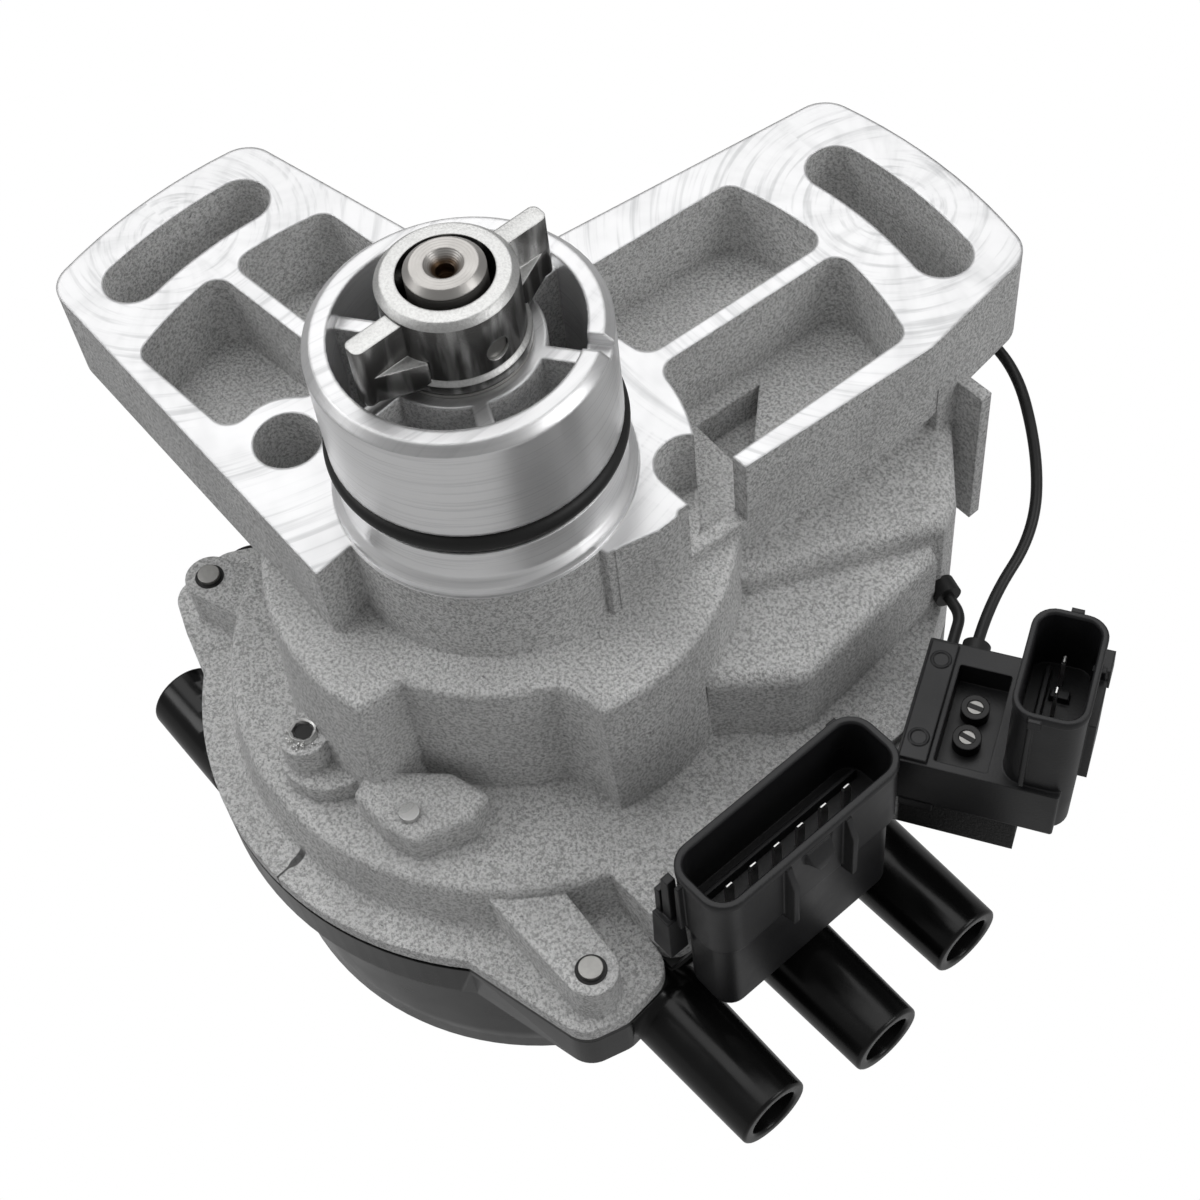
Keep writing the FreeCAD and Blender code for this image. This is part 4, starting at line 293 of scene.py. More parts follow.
@dataclass(frozen=True)
class CastAluminium:
    """Sand-cast aluminium, milled on the mounting face and turned on the pilot."""

    tone: Tone = (0.80, 0.80, 0.795)
    dark: Tone = (0.38, 0.38, 0.38)
    milled: Tone = (0.66, 0.66, 0.665)
    milled_dark: Tone = (0.40, 0.405, 0.41)
    turned: Tone = (0.98, 0.98, 0.985)
    turned_dark: Tone = (0.66, 0.665, 0.67)
    grain_mm: float = 0.55
    left_cutter_mm: Flat = (-78.0, -6.0)
    right_cutter_mm: Flat = (5.0, 85.0)
    machined_above_mm: float = -0.12
    bore_mm: float = 18.9
    groove_degrees: float = -86.0
    groove_from_mm: float = 52.4
    groove_narrows_mm: float = 55.5
    rim_step_mm: float = -50.0
    ledge_degrees: float = 30.5
    ledge_from_mm: float = 71.2
    ledge_top_mm: float = -47.5
    arc_mm: Flat = (1.3, 60.0)
    fan_mm: Flat = (14.0, 16.0)
    ring_mm: float = 0.45
    edge_mm: float = 0.8
    depth_mm: float = 0.36

    def machined_mask(self, g: Graph, up: Value) -> Value:
        """Where the casting was machined: above the mounting face, but not inside the pilot."""
        above = g.z.above(self.machined_above_mm * MM, 0.05 * MM)
        inside = (1 - g.from_axis().above(self.bore_mm * MM, 0.2 * MM)) * (1 - up.above(0.6, 0.1))
        return above * (1 - inside * g.z.above(1 * MM, 0.5 * MM) * 0.85)

    def cast_colour(self, g: Graph, grain: Value) -> Link:
        """Speckled skin of the sand mould, stained here and there, with painted glints, the rim's groove
        drawn as painted shade, and painted shade under the three-pin block.
        """
        stains = g.noise(14.0, 2.0).above(0.56, 0.25)
        # Bright specks: painted glints, standing for light catching the casting's grains.
        painted_glints = g.noise(0.3, 1.0).above(0.66, 0.04)
        pits = g.noise(0.9, 2.0, rough=0.7).above(0.69, 0.03)
        colour = g.mix(grain.above(0.48, 0.13), self.dark, self.tone)
        colour = g.mix(stains * 0.3, colour, self.dark)
        colour = g.mix(pits * 0.6, colour, (0.12, 0.12, 0.12))
        colour = g.mix(painted_glints * 0.5, colour, (0.95, 0.95, 0.95))
        # Painted shade: the rim's groove is not cut, only coloured near-black where its shade would fall.
        colour = g.mix(self.groove_shade_mask(g) * 0.85, colour, (0.03, 0.03, 0.03))
        # Painted shade: below the three-pin block the casting is coloured near-black, as if in the block's
        # shadow.
        turn = math.radians(self.ledge_degrees)
        outward = g.x * math.cos(turn) + g.y * math.sin(turn)
        ledge_shade = outward.above(self.ledge_from_mm * MM, 0.3 * MM)
        return g.mix(ledge_shade * (1 - g.z.above(self.ledge_top_mm * MM, 0.2 * MM)), colour, (0.02, 0.02, 0.02))

    def groove_shade_mask(self, g: Graph) -> Value:
        """Where the rim has its groove, which is narrower near the edge."""
        angle = g.math("ARCTAN2", g.y, g.x) - math.radians(self.groove_degrees)
        radius = g.from_axis()
        narrow = radius.above(self.groove_narrows_mm * MM, 1.0 * MM) * math.radians(0.55)
        near = 1 - (g.math("ABSOLUTE", angle) + narrow).above(math.radians(0.75), math.radians(0.12))
        below = 1 - g.z.above(self.rim_step_mm * MM, 1 * MM)
        return near * radius.above(self.groove_from_mm * MM, 0.3 * MM) * below

    def build(self) -> Material:
        """Make the material.

        Returns:
            The material, for the casting only, since its machined faces go by level.
        """
        g = Graph("cast aluminium")
        up = g.facing_up()
        flat = up.above(0.7, 0.1)
        machined = self.machined_mask(g, up)
        grain = g.noise(self.grain_mm, 3.0, rough=0.7)
        on_right = g.y.above(20 * MM, 12 * MM)
        arcs, fans = (g.blend(on_right, g.arc_noise(self.left_cutter_mm, *streak),
                              g.arc_noise(self.right_cutter_mm, *streak))
                      for streak in (self.arc_mm, self.fan_mm))
        rings = g.noise(self.ring_mm, 2.0, (0.02, 0.02, 1.0))
        lines = g.blend(flat, rings, arcs)
        worn = fans.above(0.6, 0.2) * 0.35 + arcs.above(0.58, 0.1) * 0.5
        milled = g.mix(worn, self.milled, self.milled_dark)
        turned = g.mix(rings.above(0.6, 0.14) * 0.4, self.turned, self.turned_dark)
        metal = g.mix(flat, turned, milled)
        colour = g.mix(machined, self.cast_colour(g, grain), metal)
        bump = g.blend(machined, grain + g.noise(14.0) * 0.5, lines * 0.05)
        rough = g.blend(machined, 0.6, 0.24 + lines * 0.14 + fans * 0.1)
        metallic = g.blend(machined, 0.25, 0.95)
        return g.finish(self.edge_mm, bump, self.depth_mm, Base_Color=colour, Metallic=metallic,
                        Roughness=rough)


@dataclass(frozen=True)
class TurnedSteel:
    """Turned steel with fine rings about the shaft axis and a stained centre."""

    name: str = "turned steel"
    tone: Tone = (0.50, 0.485, 0.465)
    stain: Tone = (0.09, 0.055, 0.03)
    stain_radius_mm: float = 2.1
    ring_pitch_mm: float = 0.5

    def build(self) -> Material:
        """Make the material and return it."""
        g = Graph(self.name)
        radius = g.from_axis()
        rings = g.math("SINE", (radius + g.z) / (self.ring_pitch_mm * MM) * math.tau)
        centre = (1 - radius.above(self.stain_radius_mm * MM, 0.5 * MM)) * g.z.above(40 * MM, 1 * MM)
        worn = g.noise(3.0, 3.0)
        colour = g.mix(worn * 0.4, self.tone, (0.32, 0.305, 0.29))
        colour = g.mix(centre * (0.5 + worn), colour, self.stain)
        return g.finish(0.3, rings * 0.5 + worn, 0.02, Base_Color=colour, Metallic=0.9,
                        Roughness=0.3 + worn * 0.2)


@dataclass(frozen=True)
class BlastedSteel:
    """Sintered and blasted steel of the coupling, with painted light on its top and painted shade darkening
    its upright side.
    """

    # A lighter tone for faces turned up and a darker one for upright faces: painted light and painted
    # shade.
    top: Tone = (0.66, 0.66, 0.65)
    side: Tone = (0.125, 0.123, 0.12)
    grain_mm: float = 0.4

    def build(self) -> Material:
        """Make the material and return it."""
        g = Graph("blasted steel")
        # Painted light and shade by facing: faces turned up take the top tone, upright faces the darker
        # side tone.
        up = g.facing_up().above(0.45, 0.3)
        grain = g.noise(self.grain_mm, 3.0, rough=0.7)
        streak = g.noise(2.5, 3.0, (1.0, 1.0, 0.15))
        side = g.mix(streak.above(0.58, 0.12) * 0.6, self.side, self.top)
        top = g.mix(grain.above(0.52, 0.12) * 0.4, self.top, (0.42, 0.42, 0.415))
        return g.finish(0.4, grain * (0.3 + up * 0.7), 0.07, Base_Color=g.mix(up, side, top), Metallic=0.9,
                        Roughness=0.24 + up * 0.16)


@dataclass(frozen=True)
class PlainMetal:
    """Metal of one tone with fine wear: pins, screws, brass and bronze parts."""

    name: str
    tone: Tone
    roughness: float = 0.3
    grain_mm: float = 0.8
    depth_mm: float = 0.03
    edge_mm: float = 0.2

    def build(self) -> Material:
        """Make the material and return it."""
        g = Graph(self.name)
        grain = g.noise(self.grain_mm, 3.0, rough=0.6)
        patch = g.noise(5.0, 2.0)
        darker = tuple(channel * 0.6 for channel in self.tone)
        colour = g.mix(grain * 0.5 + patch * 0.3, self.tone, darker)
        return g.finish(self.edge_mm, grain, self.depth_mm, Base_Color=colour, Metallic=0.92,
                        Roughness=self.roughness + patch * 0.15)


@dataclass(frozen=True)
class MouldedPlastic:
    """Black moulded plastic or rubber, from glossy to matte."""

    name: str
    tone: Tone
    roughness: float
    grain_mm: float
    depth_mm: float
    dust: float = 0.1
    sheen_level: float = 0.5
    edge_mm: float = 0.4

    def build(self) -> Material:
        """Make the material and return it."""
        g = Graph(self.name)
        grain = g.noise(self.grain_mm, 2.0)
        smear = g.noise(12.0, 3.0, rough=0.6)
        specks = g.noise(0.35, 0.0).above(0.75, 0.02)
        pale = tuple(min(1.0, channel * 2.5 + 0.02) for channel in self.tone)
        colour = g.mix(smear * self.dust + specks * self.dust, self.tone, pale)
        return g.finish(self.edge_mm, grain, self.depth_mm, Base_Color=colour,
                        Roughness=self.roughness + smear.above(0.5, 0.3) * 0.12,
                        Specular_IOR_Level=self.sheen_level)


class Finishes:
    """Every finish of the part, built once."""

    def __init__(self) -> None:
        """Build the materials."""
        self.cast = CastAluminium().build()
        self.shaft = TurnedSteel().build()
        self.coupling = BlastedSteel().build()
        self.steel = PlainMetal("plain steel", (0.42, 0.415, 0.40), 0.34).build()
        self.bright = PlainMetal("bright plating", (0.74, 0.74, 0.73), 0.22, 0.4, 0.01, 0.12).build()
        self.brass = PlainMetal("brass", (0.60, 0.42, 0.16), 0.3).build()
        self.bronze = PlainMetal("bush bronze", (0.42, 0.27, 0.13), 0.45).build()
        self.gloss = MouldedPlastic("glossy black moulding", (0.004, 0.004, 0.004), 0.17, 1.5, 0.01,
                                    dust=0.04, sheen_level=0.3).build()
        self.satin = MouldedPlastic("satin black plastic", (0.010, 0.010, 0.011), 0.34, 0.5, 0.02,
                                    sheen_level=0.4).build()
        self.rubber = MouldedPlastic("black rubber", (0.008, 0.008, 0.008), 0.42, 0.6, 0.02,
                                     sheen_level=0.4, edge_mm=0.2).build()
        self.carbon = MouldedPlastic("brush carbon", (0.03, 0.03, 0.03), 0.6, 0.3, 0.03).build()
        self.lead = MouldedPlastic("black lead cover", (0.01, 0.01, 0.01), 0.34, 0.8, 0.01,
                                   sheen_level=0.4, edge_mm=0.0).build()


def dress(mesh: bpy.types.Mesh, material: Material) -> None:
    """Give a mesh one material."""
    mesh.materials.clear()
    mesh.materials.append(material)


def dress_frame(finishes: Finishes) -> None:
    """Give every rigid piece of the frame its finish, by the record's material slot."""
    by_slot = {
        Slot.CASTING.value: finishes.cast, Slot.BRIGHT.value: finishes.bright,
        Slot.SINTERED.value: finishes.coupling, Slot.BLACK.value: finishes.satin,
        Slot.GLOSS.value: finishes.gloss, Slot.LEAD.value: finishes.lead,
        "rubber": finishes.rubber, "bronze": finishes.bronze, "steel": finishes.steel,
        "brass": finishes.brass, "carbon": finishes.carbon,
    }
    for part in frame["record"]["subparts"]:
        dress(frame["nodes"][part["node"]].data, by_slot[part["material_slot"]])
    dress(frame["nodes"]["drive_shaft"].data, finishes.shaft)
    dress(frame["nodes"]["block_screws"].data, finishes.steel)
    log.info("dressed %d pieces of the frame", len(frame["nodes"]))


# Shapes of the added pieces


def rounded_box(low: Flat, high: Flat, radius: float, steps: int = 5) -> list[Flat]:
    """Outline of a rectangle with round corners, anticlockwise from its lower right.

    Args:
        low: corner with the smaller values.
        high: corner with the larger values.
        radius: radius of the corners.
        steps: sides in each corner.

    Returns:
        The outline's points.
    """
    middles = ((high[0] - radius, low[1] + radius, -90), (high[0] - radius, high[1] - radius, 0),
               (low[0] + radius, high[1] - radius, 90), (low[0] + radius, low[1] + radius, 180))
    points = []
    for x, y, start in middles:
        for step in range(steps + 1):
            angle = math.radians(start + 90 * step / steps)
            points.append((x + radius * math.cos(angle), y + radius * math.sin(angle)))
    return points


def round_outline(x: float, y: float, radius: float, steps: int = 32) -> list[Flat]:
    """Outline of a circle."""
    turns = [math.tau * step / steps for step in range(steps)]
    return [(x + radius * math.cos(turn), y + radius * math.sin(turn)) for turn in turns]


class Shape:
    """Mesh of one added piece, drawn in millimetres and placed by a matrix."""

    def __init__(self, place: Optional[Matrix] = None) -> None:
        """Start an empty mesh in the row frame or in a frame of its own."""
        self.mesh = bmesh.new()
        self.place = place or Matrix.Identity(4)

    def loft(self, loops: Sequence[tuple[Sequence[Flat], float]], closed: bool = True) -> None:
        """Join outlines at their levels, and close the first and the last.

        Args:
            loops: outlines with as many points each, and the level of each.
            closed: whether the ends get faces; if not, the last joins the first.
        """
        rows = []
        for outline, level in loops:
            rows.append([self.mesh.verts.new(self.place @ Vector((x, y, level)) * MM) for x, y in outline])
        pairs = list(zip(rows, rows[1:]))
        if closed:
            self.mesh.faces.new(rows[0])
            self.mesh.faces.new(rows[-1])
        else:
            pairs.append((rows[-1], rows[0]))
        for first, second in pairs:
            count = len(first)
            for index in range(count):
                after = (index + 1) % count
                self.mesh.faces.new((first[index], first[after], second[after], second[index]))

    def box(self, low: Point, high: Point, lean: float = 0.0) -> None:
        """Box whose top is narrower by lean on each side."""
        base = [(low[0], low[1]), (high[0], low[1]), (high[0], high[1]), (low[0], high[1])]
        top = [(low[0] + lean, low[1] + lean), (high[0] - lean, low[1] + lean),
               (high[0] - lean, high[1] - lean), (low[0] + lean, high[1] - lean)]
        self.loft([(base, low[2]), (top, high[2])])

    def ring(self, x: float, y: float, inner: float, outer: float, low: float, high: float) -> None:
        """Flat ring round an upright axis."""
        wide, narrow = round_outline(x, y, outer), round_outline(x, y, inner)
        self.loft([(wide, low), (wide, high), (narrow, high), (narrow, low)], closed=False)

    def piece(self, name: str, material: Material, body: str,
              edge_mm: float = 0.0) -> Object:
        """Turn the mesh into a piece that rides on a body.

        Args:
            name: the piece's name.
            material: its finish.
            body: the body that it rides on.
            edge_mm: width of the bevel on its edges.

        Returns:
            The piece.
        """
        bmesh.ops.recalc_face_normals(self.mesh, faces=self.mesh.faces)
        data = bpy.data.meshes.new(name)
        self.mesh.to_mesh(data)
        self.mesh.free()
        return add_piece(name, data, material, body, edge_mm)


def add_object(name: str, data: bpy.types.ID) -> Object:
    """Make an object and put it into the scene."""
    made = bpy.data.objects.new(name, data)
    bpy.context.scene.collection.objects.link(made)
    return made


def add_piece(name: str, data: bpy.types.Mesh, material: Material, body: str,
              edge_mm: float = 0.0) -> Object:
    """Put a mesh into the scene as a piece, smooth but for its sharp edges."""
    dress(data, material)
    data.polygons.foreach_set("use_smooth", [True] * len(data.polygons))
    data.set_sharp_from_angle(angle=math.radians(35))
    made = add_object(name, data)
    if edge_mm:
        bevel = made.modifiers.new("edges", "BEVEL")
        bevel.width = edge_mm * MM
        bevel.segments = 2
        bevel.limit_method = "ANGLE"
        bevel.angle_limit = math.radians(40)
    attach(made, body)
    return made


class RepeatTree:
    """Geometry Nodes tree that puts a template on each point of a mesh."""

    def __init__(self) -> None:
        """Build the tree with its named inputs."""
        self.tree = bpy.data.node_groups.new("repeat on points", "GeometryNodeTree")
        face = self.tree.interface
        kinds = {"Geometry": "Geometry", "Template": "Object", "Turn": "Float", "Seed": "Int",
                 "Finish": "Material"}
        self.names = {}
        for name, kind in kinds.items():
            socket = face.new_socket(name, in_out="INPUT", socket_type="NodeSocket" + kind)
            self.names[name] = socket.identifier
        face.new_socket("Geometry", in_out="OUTPUT", socket_type="NodeSocketGeometry")
        start, end = self.node("NodeGroupInput"), self.node("NodeGroupOutput")
        template = self.node("GeometryNodeObjectInfo")
        points = self.node("GeometryNodeMeshToPoints")
        chance = self.node("FunctionNodeRandomValue")
        turn = self.node("ShaderNodeCombineXYZ")
        spread = self.node("GeometryNodeInstanceOnPoints")
        real = self.node("GeometryNodeRealizeInstances")
        finish = self.node("GeometryNodeSetMaterial")
        links = (
            (start, "Template", template, "Object"), (start, "Geometry", points, "Mesh"),
            (start, "Turn", chance, 3), (start, "Seed", chance, "Seed"), (chance, 1, turn, "Z"),
            (points, 0, spread, "Points"), (template, "Geometry", spread, "Instance"),
            (turn, 0, spread, "Rotation"), (spread, 0, real, 0), (real, 0, finish, "Geometry"),
            (start, "Finish", finish, "Material"), (finish, 0, end, 0),
        )
        for source, output, target, into in links:
            self.tree.links.new(source.outputs[output], target.inputs[into])

    def node(self, kind: str) -> bpy.types.Node:
        """Add a node."""
        return self.tree.nodes.new(kind)

    def spread(self, name: str, template: Shape, places_mm: Sequence[Point], material: Material,
               body: str, slot: Slot, turn: float = 0.0, seed: int = 3) -> Object:
        """Make one piece of many copies of a template.

        Args:
            name: the piece's name.
            template: what is copied, drawn about the origin.
            places_mm: where the copies go.
            material: their finish.
            body: the body that they ride on.
            slot: material slot of the record; not used.
            turn: largest turn of a copy, in radians.
            seed: seed of the turns.

        Returns:
            The piece.
        """
        pattern = template.piece(name + "_pattern", material, body)
        dots = bpy.data.meshes.new(name + "_places")
        dots.from_pydata([tuple(value * MM for value in place) for place in places_mm], [], [])
        host = add_object(name + "_host", dots)
        modifier = host.modifiers.new("repeat", "NODES")
        modifier.node_group = self.tree
        values = {"Template": pattern, "Turn": turn, "Seed": seed, "Finish": material}
        for key, value in values.items():
            modifier[self.names[key]] = value
        graph = bpy.context.evaluated_depsgraph_get()
        data = bpy.data.meshes.new_from_object(host.evaluated_get(graph))
        data.name = name
        bpy.data.objects.remove(host)
        bpy.data.objects.remove(pattern)
        return add_piece(name, data, material, body)


def rounded_copy(node: str, name: str, material: Material, body: str, width_mm: float,
                 wanted: Callable[[Vector], bool]) -> Object:
    """Copy a rigid piece of the frame and round the sharp edges that are wanted.

    Args:
        node: the frame's node.
        name: the piece's name.
        material: its finish.
        body: the body that it rides on.
        width_mm: width of the rounding.
        wanted: says of a point in millimetres whether an edge there is rounded.

    Returns:
        The piece.
    """
    mesh = bmesh.new()
    mesh.from_mesh(frame["nodes"][node].data)
    bmesh.ops.remove_doubles(mesh, verts=mesh.verts, dist=0.001 * MM)
    weights = mesh.edges.layers.float.new("bevel_weight_edge")
    for edge in mesh.edges:
        middle = (edge.verts[0].co + edge.verts[1].co) / 2 / MM
        sharp = edge.is_manifold and edge.calc_face_angle() > math.radians(40)
        edge[weights] = 1.0 if sharp and wanted(middle) else 0.0
    data = bpy.data.meshes.new(name)
    mesh.to_mesh(data)
    mesh.free()
    made = add_piece(name, data, material, body)
    bevel = made.modifiers.new("edges", "BEVEL")
    bevel.width = width_mm * MM
    bevel.segments = 3
    bevel.limit_method = "WEIGHT"
    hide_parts(node)
    return made


# Pieces


@dataclass
class LongLead:
    """Lead that runs from the block round the arm's end to the bay's rear wall."""

    diameter_mm: float = 2.0
    length_mm: float = 91.5
    route_mm: tuple[Point, ...] = (
        (59.91, 51.77, -40.0), (55.35, 59.53, -40.0), (52.0, 74.0, -37.0), (43.0, 84.0, -32.0),
        (29.0, 92.0, -25.0), (13.0, 92.5, -26.5), (5.0, 85.5, -33.0), (5.0, 77.0, -36.0),
    )

    def build(self, finishes: "Finishes") -> None:
        """Lay the lead along its route."""
        curve = bpy.data.curves.new("long_lead_line", "CURVE")
        curve.dimensions = "3D"
        spline = curve.splines.new("NURBS")
        spline.points.add(len(self.route_mm) - 1)
        for point, place in zip(spline.points, self.route_mm):
            point.co = (*(value * MM for value in place), 1.0)
        spline.order_u = 3
        spline.use_endpoint_u = True
        spline.resolution_u = 12
        curve.bevel_depth = self.diameter_mm / 2 * MM
        curve.bevel_resolution = 5
        curve.use_fill_caps = True
        curve.materials.append(finishes.lead)
        lead = add_object("lead_long", curve)
        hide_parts("long_lead")
        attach(lead, "housing")
        log.info("laid the long lead")


class Socket:
    """Shell of a connector: a wall round a cavity, with a lip at its rim."""

    def __init__(self, shape: Shape, low: Flat, high: Flat, corner: float, wall: float) -> None:
        """Keep the outline's corners, its corner radius and the wall."""
        self.shape, self.low, self.high, self.corner, self.wall = shape, low, high, corner, wall

    def outline(self, inset: float) -> list[Flat]:
        """Outline moved inwards."""
        low = (self.low[0] + inset, self.low[1] + inset)
        high = (self.high[0] - inset, self.high[1] - inset)
        return rounded_box(low, high, max(self.corner - inset, 0.4), 7)

    def draw(self, rim: float, floor: float, steps: Sequence[tuple[float, float]]) -> None:
        """Draw the shell.

        Args:
            rim: level of the rim.
            floor: level of the cavity's floor.
            steps: inset and level of the outside, from the bottom up.
        """
        lip = [(0.0, rim - 1.7), (-0.2, rim - 1.5), (-0.2, rim - 0.3), (0.0, rim)]
        inside = [(self.wall - 0.3, rim), (self.wall, rim - 0.4), (self.wall, floor)]
        self.shape.loft([(self.outline(inset), level) for inset, level in (*steps, *lip, *inside)])


def pin_blade(turn: Matrix, thick: float = 0.64, wide: float = 1.5, tip: float = 0.5) -> Shape:
    """Blade of a connector's pin with its tip at the origin."""
    blade = Shape(turn)
    blade.box((-thick / 2, -wide / 2, -13.8), (thick / 2, wide / 2, -tip))
    blade.box((-thick / 2, -wide / 2, -tip), (thick / 2, wide / 2, 0.0), 0.18)
    return blade


@dataclass
class SixPinConnector:
    """Upright six-pin connector on the bay's wall."""

    low_mm: Flat = (62.2, -19.6)
    high_mm: Flat = (75.0, 19.6)
    rim_mm: float = -20.0
    seam_mm: float = -36.0
    base_mm: float = -57.6
    floor_mm: float = -34.0
    wall_mm: float = 1.15
    corner_mm: float = 4.4
    pitch_mm: float = 4.95
    pins: int = 6
    pin_tip_mm: float = -28.0
    rib_side_mm: float = 6.2
    tongue_mm: tuple[Point, Point] = ((57.0, -13.7, -57.6), (62.5, 13.7, -51.8))

    def draw_latch(self, shape: Shape) -> None:
        """Two ribs on the open side and the nose between them."""
        face = self.high_mm[0]

        def wedge(y: float, reach: float, root: float, tip: float) -> list[Flat]:
            """Outline that stands out of the face and narrows from its root to its tip."""
            back, front = face - 0.3, face + reach
            return [(back, y - root), (front, y - tip), (front, y + tip), (back, y + root)]

        rib_levels = (self.rim_mm - 1.8, self.rim_mm - 6, self.seam_mm - 1.2)
        for side in (-self.rib_side_mm, self.rib_side_mm):
            rib = [wedge(side, reach, 0.8, 0.5) for reach in (0.5, 2.0, 2.0)]
            shape.loft(list(zip(rib, rib_levels)))
        nose_levels = (self.rim_mm - 2.2, self.rim_mm - 4.6, self.rim_mm - 7.4)
        nose = [wedge(0.0, reach, wide, wide * 0.7) for reach, wide in ((0.3, 3.4), (1.7, 3.0), (1.5, 1.2))]
        shape.loft(list(zip(nose, nose_levels)))

    def draw_ear(self, shape: Shape) -> None:
        """Rail and gusset on the left end, and the tab behind the right end."""
        end = self.low_mm[1]
        shape.box((62.8, end - 1.5, self.seam_mm + 1.5), (64.6, end + 0.4, self.rim_mm - 2.6), 0.15)
        shape.box((65.6, end - 1.1, self.seam_mm + 1.0), (66.6, end + 0.4, self.rim_mm - 2.2), 0.1)
        shape.box((61.2, end - 1.8, self.seam_mm - 9.0), (62.6, end + 1.0, self.rim_mm - 7.5), 0.2)
        shape.box((61.2, end - 2.8, self.seam_mm - 9.0), (65.4, end + 0.8, self.seam_mm + 1.7), 0.25)
        shape.box((61.3, 14.4, self.rim_mm - 7.0), (63.4, 16.8, self.rim_mm - 0.6), 0.3)

    def draw_floor(self, shape: Shape) -> None:
        """Rail behind the pins and the stubs between them."""
        shape.box((65.4, -17.2, self.floor_mm - 0.2), (66.3, 17.2, self.floor_mm + 2.2), 0.1)
        for place in range(self.pins + 1):
            y = (place - self.pins / 2) * self.pitch_mm
            shape.box((69.9, y - 1.1, self.floor_mm - 0.2), (72.6, y + 1.1, self.floor_mm + 1.5), 0.1)

    def build(self, finishes: "Finishes", repeat: RepeatTree) -> None:
        """Make the connector's moulding and its pins."""
        shape = Shape()
        socket = Socket(shape, self.low_mm, self.high_mm, self.corner_mm, self.wall_mm)
        socket.draw(self.rim_mm, self.floor_mm, [
            (1.2, self.base_mm), (1.2, self.seam_mm - 0.5), (0.35, self.seam_mm - 0.5),
            (0.35, self.seam_mm), (0.0, self.seam_mm)])
        self.draw_latch(shape)
        self.draw_ear(shape)
        self.draw_floor(shape)
        shape.box(*self.tongue_mm)
        made = shape.piece("six_pin_shell", finishes.satin, "housing")
        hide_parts("six_pin_connector")
        middle = (self.low_mm[0] + self.high_mm[0]) / 2
        first = -(self.pins - 1) / 2
        places = [(middle, (first + place) * self.pitch_mm, self.pin_tip_mm) for place in range(self.pins)]
        blade = pin_blade(Matrix.Identity(4))
        blades = repeat.spread("six_pin_blades", blade, places, finishes.bright, "housing", Slot.BRIGHT)
        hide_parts("six_pin_terminals")
        log.info("built the six-pin connector")


